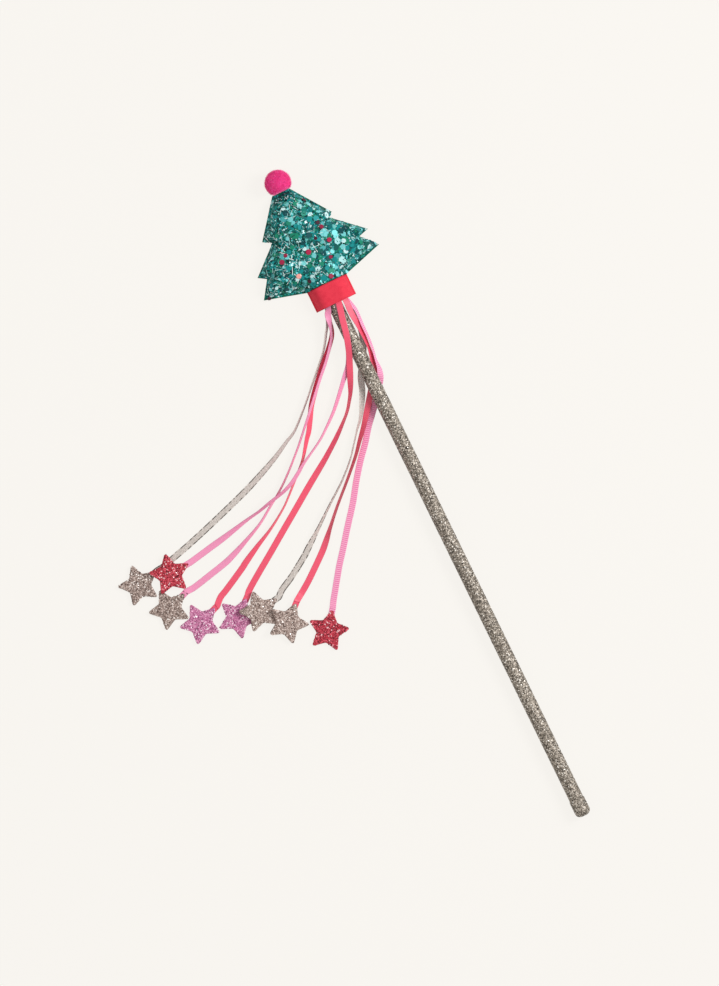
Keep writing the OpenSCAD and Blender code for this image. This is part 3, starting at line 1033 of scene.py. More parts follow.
@dataclass
class Stick:
    """The dowel in its glitter cover, with the fabric gathered over its end.

    Attributes:
        sides: Points round the cover.
        step: Distance between its rings.
        core_gap: Room between the core and the cover.
        rim_gap: Room between the cover and the rim of the gathered end.
        pleats: Gathers round the end.
        gather: The end from its rim down: share of its length, inset and ripple in millimetres.
        knot: Radius of the drawn-in middle of the end.
        knot_depth: How far the middle is drawn in.
        fabric: Unevenness of the fabric.
        flakes: How glitter lies on it.
        radius: Radius of the cover.
        axis: Middle of the stick.
    """

    sides: int = 48
    step: float = 1.2 * MM
    core_gap: float = 0.05 * MM
    rim_gap: float = 0.02 * MM
    pleats: int = 14
    gather: Rows = (
        (1.0, 0.08, 0.0), (0.96, 0.0, 0.03), (0.8, 0.0, 0.04), (0.6, 0.0, 0.06), (0.4, 0.0, 0.08),
        (0.27, 0.0, 0.1), (0.16, 0.35, 0.14), (0.08, 0.9, 0.18), (0.03, 1.6, 0.22), (0.0, 2.4, 0.22),
    )
    knot: float = 0.5 * MM
    knot_depth: float = 0.25 * MM
    fabric: Unevenness = Unevenness(400.0, 0.05 * MM)
    flakes: Strewing = Strewing(
        ChipShape.FLAKE, 2.8e6, 0.4 * MM, 0.85 * MM, 0.62 * MM, 0.1 * MM, tilt=0.3, seed=11
    )
    radius: float = field(init=False)
    axis: Vector = field(init=False)

    def build(self) -> None:
        """Builds the cover, its end and their glitter."""
        slot = "stick_glitter"
        low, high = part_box("stick_cover")
        self.radius = (high.x - low.x) / 2
        self.axis = Vector(((low.x + high.x) / 2, 0, (low.z + high.z) / 2))
        sheet = STICK_FLECKS.sheet()
        chips = STICK_FLECKS.chips()
        cover = self._cover(low.y, high.y)
        set_on(cover.piece("stick_fabric", sheet), WAND, slot, "stick_cover")
        end_low, end_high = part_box("stick_end_cap")
        bare = self._cover(end_high.y, high.y, closed=False)
        set_on(self.flakes.strew("stick_flakes", bare, chips), WAND, slot)
        end = self._end(end_low, end_high)
        set_on(end.piece("stick_end_gather", sheet), WAND, slot, "stick_end_cap")
        set_on(self.flakes.strew("stick_end_flakes", end, chips), WAND, slot)
        dress_node("stick_core", Timber().material())

    def _ring(self, y: float, radius: float, ripple: float = 0.0) -> list[Vector]:
        """Places one ring of points round the stick.

        Args:
            y: Place along the stick.
            radius: Radius of the ring.
            ripple: Height of the pleats.

        Returns:
            The points.
        """
        made = []
        for i in range(self.sides):
            turn = FULL_TURN * i / self.sides
            out = Vector((math.cos(turn), 0, math.sin(turn)))
            r = radius + ripple * math.cos(self.pleats * turn)
            r += self.fabric.at(self.axis + out * radius + Vector((0, y, 0)))
            made.append(self.axis + out * r + Vector((0, y, 0)))
        return made

    def _cover(self, start: float, stop: float, closed: bool = True) -> Surface:
        """Forms the cover as a tube.

        Args:
            start: Where it begins along the stick.
            stop: Where it ends.
            closed: Whether it has an inner wall too.

        Returns:
            The tube.
        """
        made = Surface()
        count = round((stop - start) / self.step)
        ys = [start + (stop - start) * i / count for i in range(count + 1)]
        rings = [(y, self.radius) for y in ys]
        if closed:
            core_low, core_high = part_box("stick_core")
            inner = (core_high.x - core_low.x) / 2 + self.core_gap
            rings += [(ys[-1], inner), (ys[0], inner)]
        for y, radius in rings:
            made.points += self._ring(y, radius)
        total = len(rings)
        for r in range(total if closed else total - 1):
            made.ring_strip(r * self.sides, (r + 1) % total * self.sides, self.sides)
        return made

    def _end(self, low: Vector, high: Vector) -> Surface:
        """Forms the gathered end: a rim, a wall that puckers and a drawn-in bottom.

        Args:
            low: Low corner of its box.
            high: High corner of its box.

        Returns:
            The end, open towards the stick.
        """
        made = Surface()
        outer = (high.x - low.x) / 2
        length = high.y - low.y
        profile = [(1.0, self.radius + self.rim_gap, 0.0)]
        profile += [(share, outer - inset * MM, ripple) for share, inset, ripple in self.gather]
        profile.append((0.0, self.knot, 0.0))
        for share, radius, ripple in profile:
            made.points += self._ring(low.y + share * length, radius, ripple * MM)
        made.points.append(self.axis + Vector((0, low.y + self.knot_depth, 0)))
        for r in range(len(profile) - 1):
            made.ring_strip(r * self.sides, (r + 1) * self.sides, self.sides)
        made.fan(len(made.points) - 1, (len(profile) - 1) * self.sides, self.sides)
        return made


@dataclass(frozen=True)
class ChipLayer:
    """One layer of chips on the tree.

    Attributes:
        name: Name of its piece.
        flecks: Its glitter.
        drift: How much denser the chips get to the right, or to the left if it is below 0.
        lift: Height over the panel.
        bare_rings: Rings at the edge without chips.
        strewing: How its chips lie.
    """

    name: str
    flecks: Flecks
    drift: float
    lift: float
    bare_rings: int
    strewing: Strewing


TREE_LAYERS = (
    ChipLayer(
        "tree_flakes", TREE_FLECKS, 0.0, 0.0, 0,
        Strewing(ChipShape.FLAKE, 2.6e6, 0.45 * MM, 1.2 * MM, 0.9 * MM, 0.24 * MM, tilt=0.5, seed=21),
    ),
    ChipLayer(
        "tree_chips", SEQUIN_FLECKS, 0.1, 0.1 * MM, 2,
        Strewing(ChipShape.SEQUIN, 0.6e6, 1.0 * MM, 1.7 * MM, 1.5 * MM, 0.1 * MM, tilt=0.35, seed=22),
    ),
    ChipLayer(
        "tree_tinsel", TINSEL_FLECKS, -0.6, 0.2 * MM, 5,
        Strewing(ChipShape.STRAND, 0.7e6, 0.9 * MM, 3.4 * MM, 0.22 * MM, 0.1 * MM, tilt=0.2, seed=23),
    ),
    ChipLayer(
        "tree_sequins", SEQUIN_FLECKS, 0.7, 0.25 * MM, 3,
        Strewing(
            ChipShape.SEQUIN, 0.34e6, 1.5 * MM, 2.9 * MM, 2.6 * MM, 0.12 * MM, spread=0.25, tilt=0.16, seed=24
        ),
    ),
)


@dataclass
class PaddedTree:
    """The stuffed tree: a glitter panel on a felt back, strewn with flakes, sequins, tinsel and berries.

    Attributes:
        outline_shares: Corners in half widths and heights, clockwise from the left of the blunt top.
        outline_step: Distance between two points of the outline.
        easing: How often the outline is smoothed, which rounds its corners.
        rings: Rings from the middle to the edge.
        crowding: How much closer the rings get to the edge.
        inset: Share of the felt back that the panel covers.
        panel: Thickness of the panel.
        fill: How firmly the padding fills it; not used.
        crown: Height of the padding.
        crown_power: How long the padding stays level before it falls to the seam.
        seam: Share of the panel where the padding ends.
        bulge: Height of the room over the stick.
        bulge_half: Half width of that room.
        bulge_share: Share of the tree's height where that room ends.
        bulge_power: How long the room stays level before it bends down.
        bulge_droop: How roundly it comes down.
        blend: Height over which the padding and the room run into each other.
        blend_share: How much the panel bridges the crease between them.
        sheet: Unevenness of the panel.
        flat_power: How far out to the edge the panel is uneven.
        berries: Round chips as place across, place up the tree, width and shade, from painted shade at 0
            through own colour and painted highlight to painted glint at 1.
        berry_rings: Rings of such a chip as height in millimetres and share of its width.
        berry_sides: Sides of such a chip.
        half: Half width of the tree.
        low_y: Its lower edge.
        height: Its height.
        felt: Upper face of the felt back.
        middle: Its middle.
    """

    outline_shares: Rows = (
        (-0.17, 1), (0.12, 1), (0.56, 0.61), (0.47, 0.58), (0.95, 0.305), (0.78, 0.275), (1, 0.12),
        (0.34, 0), (-0.34, 0), (-1, 0.12), (-0.81, 0.295), (-0.935, 0.345), (-0.485, 0.59), (-0.625, 0.64),
    )
    outline_step: float = 0.8 * MM
    easing: int = 2
    rings: int = 26
    crowding: float = 1.5
    inset: float = 0.985
    panel: float = 1.0 * MM
    fill: float = 0.7
    crown: float = 8.2 * MM
    crown_power: int = 4
    seam: float = 0.95
    bulge: float = 8.8 * MM
    bulge_half: float = 10.1 * MM
    bulge_share: float = 0.8
    bulge_power: int = 3
    bulge_droop: float = 0.7
    blend: float = 0.8 * MM
    blend_share: float = 0.4
    sheet: Unevenness = Unevenness(260.0, 0.25 * MM)
    flat_power: int = 6
    berries: Rows = (
        (7.8, 42.3, 2.4, 0.15), (9.2, 29.2, 2.2, 0.1), (9.9, 26.5, 2.4, 0.5), (10.6, 18.9, 2.6, 0.75),
        (-1.4, 17.9, 3.0, 0.7), (-15.5, 19.2, 2.8, 0.65), (-12.5, 21.4, 2.2, 0.4), (3.4, 2.2, 2.8, 0.35),
        (-11, 9.3, 2.8, 1.0), (-29.1, 6, 2.2, 0.0), (-7.1, 4.6, 2.4, 0.05), (4.8, 22.6, 2.0, 0.05),
        (7.5, 11, 2.2, 0.4),
    )
    berry_rings: Rows = ((0.3, 0.5), (0.5, 0.5), (0.62, 0.42))
    berry_sides: int = 6
    half: float = field(init=False)
    low_y: float = field(init=False)
    height: float = field(init=False)
    felt: float = field(init=False)
    middle: Vector = field(init=False)

    def build(self) -> None:
        """Builds the panel and what is strewn on it, the finest chips first."""
        slot = "tree_glitter"
        low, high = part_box("tree_back")
        self.half = (high.x - low.x) / 2
        self.low_y = low.y
        self.height = high.y - low.y
        self.felt = high.z
        self.middle = Vector((0, low.y + self.height / 2))
        panel = self._panel().piece("tree_panel", TREE_FLECKS.sheet())
        set_on(panel, WAND, slot, "tree_front", "tree_padding")
        for layer in TREE_LAYERS:
            top = self._top(layer.lift, layer.drift, layer.bare_rings)
            set_on(layer.strewing.strew(layer.name, top, layer.flecks.chips()), WAND, slot)
        set_on(self._berries(), WAND, slot)
        dress_node("tree_back", TREE_FELT.material())

    def _outline(self) -> list[Vector]:
        """Places close points along the outline and rounds its corners slightly.

        Returns:
            The points.
        """
        corners = [Vector((x * self.half, self.low_y + y * self.height)) for x, y in self.outline_shares]
        made = []
        for a, b in zip(corners, corners[1:] + corners[:1]):
            count = max(2, round((b - a).length / self.outline_step))
            made += [a.lerp(b, i / count) for i in range(count)]
        for _ in range(self.easing):
            made = eased(made)
        return made

    def _rise(self, x: float, y: float, share: float) -> float:
        """Finds the height under the panel, where padding and stick run into each other.

        Args:
            x: Place across.
            y: Place along.
            share: Share of the way from the middle to the edge.

        Returns:
            The height over the felt back.
        """
        pad = 0.0
        if share < self.seam:
            pad = self.crown * math.sqrt(1 - (share / self.seam) ** self.crown_power)
        arch = 0.0
        if abs(x) < self.bulge_half:
            fade = max(0.0, 1 - ((y - self.low_y) / (self.bulge_share * self.height)) ** 2)
            level = 1 - (abs(x) / self.bulge_half) ** self.bulge_power
            arch = self.bulge * level ** self.bulge_droop * fade
        near = math.exp(-abs(pad - arch) / self.blend)
        deep = min(1.0, min(pad, arch) / self.blend)
        return max(pad, arch) + self.blend * near * deep * self.blend_share

    def _rows(self, lift: float) -> list[list[Vector]]:
        """Places the rings of the panel's upper face, from the middle outwards.

        Args:
            lift: Height over the panel.

        Returns:
            The points of each ring.
        """
        outline = self._outline()
        rows = []
        for r in range(1, self.rings + 1):
            share = 1 - (1 - r / self.rings) ** self.crowding
            row = []
            for p in outline:
                q = self.middle + (p - self.middle) * share * self.inset
                z = self.felt + self._rise(q.x, q.y, share) + self.panel + lift
                z += self.sheet.at((q.x, q.y, 0)) * (1 - share ** self.flat_power)
                row.append(Vector((q.x, q.y, z)))
            rows.append(row)
        return rows

    def _top(self, lift: float, drift: float, bare_rings: int) -> Surface:
        """Forms the upper face for strewing.

        Args:
            lift: Height over the panel.
            drift: How much denser the chips get to the right, or to the left if it is below 0.
            bare_rings: Rings at the edge without chips.

        Returns:
            The face, with the share of chips at each point.
        """
        made = Surface()
        rows = self._rows(lift)
        count = len(rows[0])
        made.points.append(self._peak(lift))
        for row in rows:
            made.points += row
        made.fan(0, 1, count)
        for r in range(len(rows) - 1):
            made.ring_strip(1 + r * count, 1 + (r + 1) * count, count)
        rim = len(made.points) - bare_rings * count
        for i, p in enumerate(made.points):
            made.cover.append(0.0 if i >= rim else self._density(p, drift))
        return made

    def _density(self, point: Vector, drift: float) -> float:
        """Finds how densely chips lie, with a slanting drift and loose patches.

        Args:
            point: The place.
            drift: How much denser the chips get to the right, or to the left if it is below 0.

        Returns:
            The share of the most chips.
        """
        even = 0.65
        least = 0.12
        slant = 0.5
        slant_middle = 0.4
        patch_scale = 150.0
        patch_share = 0.6
        side = point.x / self.half - slant * ((point.y - self.low_y) / self.height - slant_middle)
        patch = noise.noise(Vector((point.x, point.y, drift)) * patch_scale)
        return min(1.0, max(least, even + drift * (side + patch_share * patch)))

    def _peak(self, lift: float) -> Vector:
        """Places the middle point of the upper face.

        Args:
            lift: Height over the panel.

        Returns:
            The point.
        """
        x, y = self.middle
        z = self.felt + self._rise(x, y, 0.0) + self.panel + lift + self.sheet.at((x, y, 0))
        return Vector((x, y, z))

    def _panel(self) -> Surface:
        """Forms the whole panel, closed over the felt back.

        Returns:
            The panel.
        """
        made = self._top(0.0, 0.0, 0)
        count = (len(made.points) - 1) // self.rings
        last = 1 + (self.rings - 1) * count
        rim = len(made.points)
        made.points += [Vector((p.x, p.y, self.felt)) for p in made.points[last:last + count]]
        made.ring_strip(last, rim, count)
        made.points.append(Vector((self.middle.x, self.middle.y, self.felt)))
        made.fan(len(made.points) - 1, rim, count)
        return made

    def _height(self, x: float, y: float) -> float:
        """Finds the panel's upper face at a place.

        Args:
            x: Place across.
            y: Place along.

        Returns:
            The height over the table.
        """
        parallel = 1e-12
        out = Vector((x, y)) - self.middle
        reach = 1.0
        outline = self._outline()
        for a, b in zip(outline, outline[1:] + outline[:1]):
            side = b - a
            cross = out.x * side.y - out.y * side.x
            if abs(cross) < parallel:
                continue
            start = a - self.middle
            along = (start.x * side.y - start.y * side.x) / cross
            place = (start.x * out.y - start.y * out.x) / cross
            if along > 0 and 0 <= place <= 1:
                reach = along
        return self.felt + self._rise(x, y, 1 / reach) + self.panel

    def _lie(self, x: float, y: float) -> Matrix:
        """Finds how a chip lies on the panel.

        Args:
            x: Place across.
            y: Place along.

        Returns:
            The turn from level to the panel's slope.
        """
        near = 1.0 * MM
        slope = Vector((
            self._height(x - near, y) - self._height(x + near, y),
            self._height(x, y - near) - self._height(x, y + near),
            2 * near,
        )).normalized()
        return Vector((0, 0, 1)).rotation_difference(slope).to_matrix()

    def _berries(self) -> bpy.types.Object:
        """Builds the round coloured chips.

        Returns:
            The chips as one piece.
        """
        made = Surface()
        sides = self.berry_sides
        shades = []
        for number, (across, up, width, shade) in enumerate(self.berries):
            x = across * MM
            y = self.low_y + up * MM
            here = Vector((x, y, self._height(x, y)))
            turn = self._lie(x, y)
            first = len(made.points)
            for z, r in self.berry_rings:
                for i in range(sides):
                    angle = FULL_TURN * i / sides + number
                    flat = Vector((math.cos(angle), math.sin(angle), 0)) * (r * width * MM)
                    made.points.append(here + turn @ (flat + Vector((0, 0, z * MM))))
            made.ring_strip(first, first + sides, sides)
            made.ring_strip(first + sides, first + 2 * sides, sides)
            made.faces.append(tuple(range(first, first + sides)))
            made.faces.append(tuple(range(first + 2 * sides, first + 3 * sides)))
            # The shade value picks among the berry's painted shade, own colour, painted highlight and painted
            # glint.
            shades += [shade] * (len(self.berry_rings) * sides)
        piece = made.piece("tree_berries", BERRY_FLECKS.chips(), smooth=False)
        values = piece.data.attributes.new("shade", "FLOAT", "POINT")
        values.data.foreach_set("value", shades)
        return piece


def eased(points: list[Vector]) -> list[Vector]:
    """Smooths a closed outline by one step.

    Args:
        points: The outline's points.

    Returns:
        The points, each drawn a little to its neighbours.
    """
    count = len(points)
    return [(points[i - 1] + points[i] * 2 + points[(i + 1) % count]) / 4 for i in range(count)]


@dataclass
class Pompom:
    """The yarn ball that is pressed on the tree's blunt top.

    Attributes:
        pile: Length of the cut yarn ends.
        sunk_share: Share of the pile that the core leaves for it.
        pressed_share: Share of the pile that is left between the core and the tree.
        hidden_share: Share of the core below its middle where the tree hides the bare flat.
        yarn: Thickness of a yarn end.
        yarn_apart: Least distance between two yarn ends.
        yarn_per_area: Most yarn ends on a square metre.
        rings: Rings of the core.
        sides: Points round it.
        wound: Unevenness of the core, in shares of its radius.
        centre: Middle of the ball.
        flat_y: Where it meets the tree.
        core: Radius of the core.
    """

    pile: float = 0.9 * MM
    sunk_share: float = 0.95
    pressed_share: float = 0.6
    hidden_share: float = 0.3
    yarn: float = 0.13 * MM
    yarn_apart: float = 0.16 * MM
    yarn_per_area: float = 26e6
    rings: int = 40
    sides: int = 64
    wound: Unevenness = Unevenness(2.2, 0.15 * MM)
    centre: Vector = field(init=False)
    flat_y: float = field(init=False)
    core: float = field(init=False)

    def build(self) -> None:
        """Builds the core and its pile."""
        slot = "pompom_yarn"
        low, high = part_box("pompom")
        radius = (high.z - low.z) / 2
        self.centre = Vector(((low.x + high.x) / 2, high.y - radius, (low.z + high.z) / 2))
        self.flat_y = low.y
        self.core = radius - self.sunk_share * self.pile
        set_on(self._ball().piece("pompom_core", POMPOM_YARN.material()), WAND, slot, "pompom")
        ends = Strewing(
            ChipShape.FIBRE, self.yarn_per_area, self.yarn_apart, self.yarn, self.yarn, self.pile,
            spread=0.25, tilt=0.55, seed=31,
        )
        set_on(ends.strew("pompom_pile", self._ball(), POMPOM_ENDS.chips()), WAND, slot)

    def _ball(self) -> Surface:
        """Forms the core, flattened where it meets the tree.

        Returns:
            The core, with the share of pile at each point.
        """
        made = Surface()
        for r in range(1, self.rings):
            polar = math.pi * r / self.rings
            for i in range(self.sides):
                turn = FULL_TURN * i / self.sides
                x = math.sin(polar) * math.cos(turn)
                z = math.sin(polar) * math.sin(turn)
                made.points.append(self._place(Vector((x, math.cos(polar), z))))
        for r in range(self.rings - 2):
            made.ring_strip(r * self.sides, (r + 1) * self.sides, self.sides)
        for y, ring in ((1, 0), (-1, self.rings - 2)):
            made.points.append(self._place(Vector((0, y, 0))))
            made.fan(len(made.points) - 1, ring * self.sides, self.sides)
        pressed = self.flat_y + self.pile
        hidden = self.centre.z - self.hidden_share * self.core
        made.cover = [0.0 if p.y < pressed and p.z < hidden else 1.0 for p in made.points]
        return made

    def _place(self, out: Vector) -> Vector:
        """Places the point of the core in a direction.

        Args:
            out: The direction from the middle.

        Returns:
            The point.
        """
        point = self.centre + out * (self.core + self.wound.at(out))
        point.y = max(point.y, self.flat_y + self.pressed_share * self.pile)
        return point


@dataclass
class TrunkBand:
    """The felt band that holds the stick and the ribbons under the tree.

    Attributes:
        bulge: Height of the room over the stick.
        shoulder: How far out the band stays level before it bends down.
        droop: How roundly it comes down to its seam.
        seam: Width of the glued seam at each side.
        glue: Thickness of the glue in the seam.
        ease: How far the cut edges are worn down.
        steps: Points across the band.
        rows: Rows along it.
        cloth: Unevenness of the felt.
        low: Low corner of the front's box.
        high: High corner of that box.
        half: Half width of the band.
        felt: Thickness of the felt, which is the upper face of the back on the table.
        girth: Length of the front when it lies flat.
    """

    bulge: float = 8.8 * MM
    shoulder: float = 4.5
    droop: float = 0.75
    seam: float = 0.8 * MM
    glue: float = 0.01 * MM
    ease: float = 0.12 * MM
    steps: int = 72
    rows: int = 14
    cloth: Unevenness = Unevenness(220.0, 0.12 * MM)
    low: Vector = field(init=False)
    high: Vector = field(init=False)
    half: float = field(init=False)
    felt: float = field(init=False)
    girth: float = field(init=False)

    def build(self) -> None:
        """Builds the front, and dresses the back."""
        self.low, self.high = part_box("trunk_front")
        self.half = (self.high.x - self.low.x) / 2
        self.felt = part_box("trunk_back")[1].z
        felt = BAND_FELT.material()
        front = self._front().piece("trunk_wrap", felt)
        set_on(front, WAND, "trunk_felt", "trunk_front")
        dress_node("trunk_back", felt)

    def _arch(self, x: float) -> float:
        """Finds the height of the band's inner face.

        Args:
            x: Place across the band.

        Returns:
            The height over the table.
        """
        reach = self.half - self.seam
        if abs(x) >= reach:
            return self.felt
        return self.felt + self.bulge * (1 - (abs(x) / reach) ** self.shoulder) ** self.droop

    def _front(self) -> Surface:
        """Forms the arched front and measures its girth.

        Returns:
            The front as a closed strip with soft edges.
        """
        made = Surface()
        bend = [math.sin(math.pi * (i / self.steps - 0.5)) for i in range(self.steps + 1)]
        inner = [Vector((b * self.half, 0, self._arch(b * self.half))) for b in bend]
        self.girth = sum((b - a).length for a, b in zip(inner, inner[1:]))
        section = [p + Vector((0, 0, self.glue)) for p in inner]
        section += [p + Vector((0, 0, self.felt)) for p in reversed(inner)]
        count = len(section)
        for row in range(self.rows + 1):
            y = self.low.y + (self.high.y - self.low.y) * (row / self.rows)
            worn = self.ease if row in (0, self.rows) else 0.0
            for i, p in enumerate(section):
                upper = i >= count // 2
                lift = self.cloth.at((p.x, y, p.z)) - worn if upper else 0.0
                made.points.append(Vector((p.x, y, p.z + lift)))
        for row in range(self.rows):
            made.ring_strip(row * count, (row + 1) * count, count)
        for row in (0, self.rows):
            made.end_faces(row * count, count)
        return made


@dataclass(frozen=True)
class RibbonEnd:
    """Where a ribbon ends: its star's place and lie, in millimetres and degrees.

    Attributes:
        x: Place of the star's middle across the wand.
        y: Place of its middle along the wand.
        z: Height of its underside.
        spin: Turn of its first arm from +X.
        lean: Lean from the table.
        high_side: Direction of the side that the lean raises.
    """

    x: float
    y: float
    z: float
    spin: float
    lean: float = 0.0
    high_side: float = 0.0

    def matrix(self) -> Matrix:
        """Works out the star's place.

        Returns:
            The place as a matrix, in metres.
        """
        side = math.radians(self.high_side)
        lean = Matrix.Rotation(math.radians(-self.lean), 4, Vector((-math.sin(side), math.cos(side), 0)))
        place = Matrix.Translation(Vector((self.x, self.y, self.z)) * MM)
        return place @ lean @ Matrix.Rotation(math.radians(self.spin), 4, "Z")


@dataclass
class Star:
    """A glitter star that the ribbon's end is glued into.

    Attributes:
        arms: Number of its arms.
        reach: Radius to the tips.
        notch: Radius to the inner corners.
        tip: Radius of the round tips.
        tip_turn: Half of the angle that a tip's arc takes up, in degrees.
        tip_steps: Steps of that arc.
        outline_step: Distance between two points of the outline.
        back: Thickness of the backing.
        back_rings: Rings of the backing below its upper edge: share of the outline and height in millimetres.
        front: Thickness of the glitter sheet.
        front_rings: Rings of its face from edge to middle: share of the outline and depth in millimetres.
        bare_rings: Rings at the cut edge without flakes.
        sheet: Unevenness of the glitter sheet.
    """

    arms: int = 5
    reach: float = 10.4 * MM
    notch: float = 5.9 * MM
    tip: float = 0.8 * MM
    tip_turn: float = 64.0
    tip_steps: int = 8
    outline_step: float = 0.7 * MM
    back: float = 0.8 * MM
    back_rings: Rows = ((1.0, 0.15), (0.99, 0.0))
    front: float = 0.9 * MM
    front_rings: Rows = (
        (1.0, 0.3), (0.985, 0.12), (0.955, 0.03), (0.85, 0.0), (0.65, 0.0), (0.4, 0.0), (0.2, 0.0),
    )
    bare_rings: int = 2
    sheet: Unevenness = Unevenness(300.0, 0.06 * MM)

    def outline(self) -> list[Vector]:
        """Places the outline in the star's own frame, its first arm along X.

        Returns:
            The points.
        """
        turn = math.radians(self.tip_turn)
        corners = []
        for arm in range(self.arms):
            middle = FULL_TURN * arm / self.arms
            centre = Vector((math.cos(middle), math.sin(middle))) * (self.reach - self.tip)
            for i in range(self.tip_steps + 1):
                angle = middle + turn * (2 * i / self.tip_steps - 1)
                corners.append(centre + Vector((math.cos(angle), math.sin(angle))) * self.tip)
            corner = middle + math.pi / self.arms
            corners.append(Vector((math.cos(corner), math.sin(corner))) * self.notch)
        made = []
        for a, b in zip(corners, corners[1:] + corners[:1]):
            count = max(1, round((b - a).length / self.outline_step))
            made += [a.lerp(b, i / count) for i in range(count)]
        return eased(made)

    def build(self, number: int, end: RibbonEnd, flecks: Flecks, slot: str) -> list[bpy.types.Object]:
        """Builds one star.

        Args:
            number: The streamer's number.
            end: Where its ribbon ends.
            flecks: Its glitter.
            slot: The record's material slot.

        Returns:
            The star's pieces that lie on the ribbon.
        """
        name = f"star_{number}"
        body = f"streamer_{number}"
        place = end.matrix()
        sheet = flecks.sheet()
        front = self._front(place, number).piece(name + "_sheet", sheet)
        pieces = [set_on(front, body, slot, name + "_front")]
        flakes = Strewing(
            ChipShape.FLAKE, 3.2e6, 0.42 * MM, 1.0 * MM, 0.76 * MM, 0.18 * MM, tilt=0.4, seed=40 + number
        )
        strewn = flakes.strew(name + "_flakes", self._skin(place, number), flecks.chips())
        pieces.append(set_on(strewn, body, slot))
        backing = self._backing(place).piece(name + "_backing", sheet, smooth=False)
        pieces.append(set_on(backing, body, slot, name + "_back"))
        return pieces

    def _shell(self, place: Matrix, number: int) -> Surface:
        """Forms the front's upper skin with a wall.

        Args:
            place: The star's place.
            number: The streamer's number, which makes each star's sheet uneven in its own way.

        Returns:
            The skin, from its lower edge to its middle.
        """
        made = Surface()
        outline = self.outline()
        top = self.back + self.front
        rings = [(1.0, self.back)] + [(share, top - depth * MM) for share, depth in self.front_rings]
        for share, z in rings:
            for p in outline:
                here = Vector((p.x * share, p.y * share, z))
                here.z += self.sheet.at((here.x, here.y, number)) * (0.0 if z == self.back else 1.0)
                made.points.append(place @ here)
        made.points.append(place @ Vector((0, 0, top)))
        count = len(outline)
        for r in range(len(rings) - 1):
            made.ring_strip(r * count, (r + 1) * count, count)
        made.fan(len(made.points) - 1, (len(rings) - 1) * count, count)
        return made

    def _front(self, place: Matrix, number: int) -> Surface:
        """Forms the front.

        Args:
            place: The star's place.
            number: The streamer's number.

        Returns:
            The front as a closed sheet.
        """
        made = self._shell(place, number)
        made.points.append(place @ Vector((0, 0, self.back)))
        made.fan(len(made.points) - 1, 0, len(self.outline()))
        return made

    def _backing(self, place: Matrix) -> Surface:
        """Forms the backing.

        Args:
            place: The star's place.

        Returns:
            The backing as a closed sheet with an eased lower edge.
        """
        made = Surface()
        outline = self.outline()
        count = len(outline)
        rings = [(1.0, self.back)] + [(share, height * MM) for share, height in self.back_rings]
        for share, z in rings:
            made.points += [place @ Vector((p.x * share, p.y * share, z)) for p in outline]
        last = len(rings) - 1
        for z, ring in ((self.back, 0), (0.0, last)):
            made.points.append(place @ Vector((0, 0, z)))
            made.fan(len(made.points) - 1, ring * count, count)
        for ring in range(last):
            made.ring_strip(ring * count, (ring + 1) * count, count)
        return made

    def _skin(self, place: Matrix, number: int) -> Surface:
        """Forms the skin that flakes lie on.

        Args:
            place: The star's place.
            number: The streamer's number.

        Returns:
            The skin, bare at the cut edge.
        """
        made = self._shell(place, number)
        edge = self.bare_rings * len(self.outline())
        made.cover = [0.0 if i < edge else 1.0 for i in range(len(made.points))]
        return made


def smooth_curve(rows: np.ndarray, steps: int) -> np.ndarray:
    """Finds close points of a smooth curve through given ones.

    Args:
        rows: The points, one in each row.
        steps: Steps between two points.

    Returns:
        The close points, the given ones among them.
    """
    last = len(rows) - 1
    made = []
    for i in range(last):
        p, q, r, s = rows[max(i - 1, 0)], rows[i], rows[i + 1], rows[min(i + 2, last)]
        slope = r - p
        bend = p * 2 - q * 5 + r * 4 - s
        twist = q * 3 - p - r * 3 + s
        for step in range(steps):
            t = step / steps
            made.append((q * 2 + slope * t + bend * t**2 + twist * t**3) / 2)
    made.append(rows[last])
    return np.array(made)


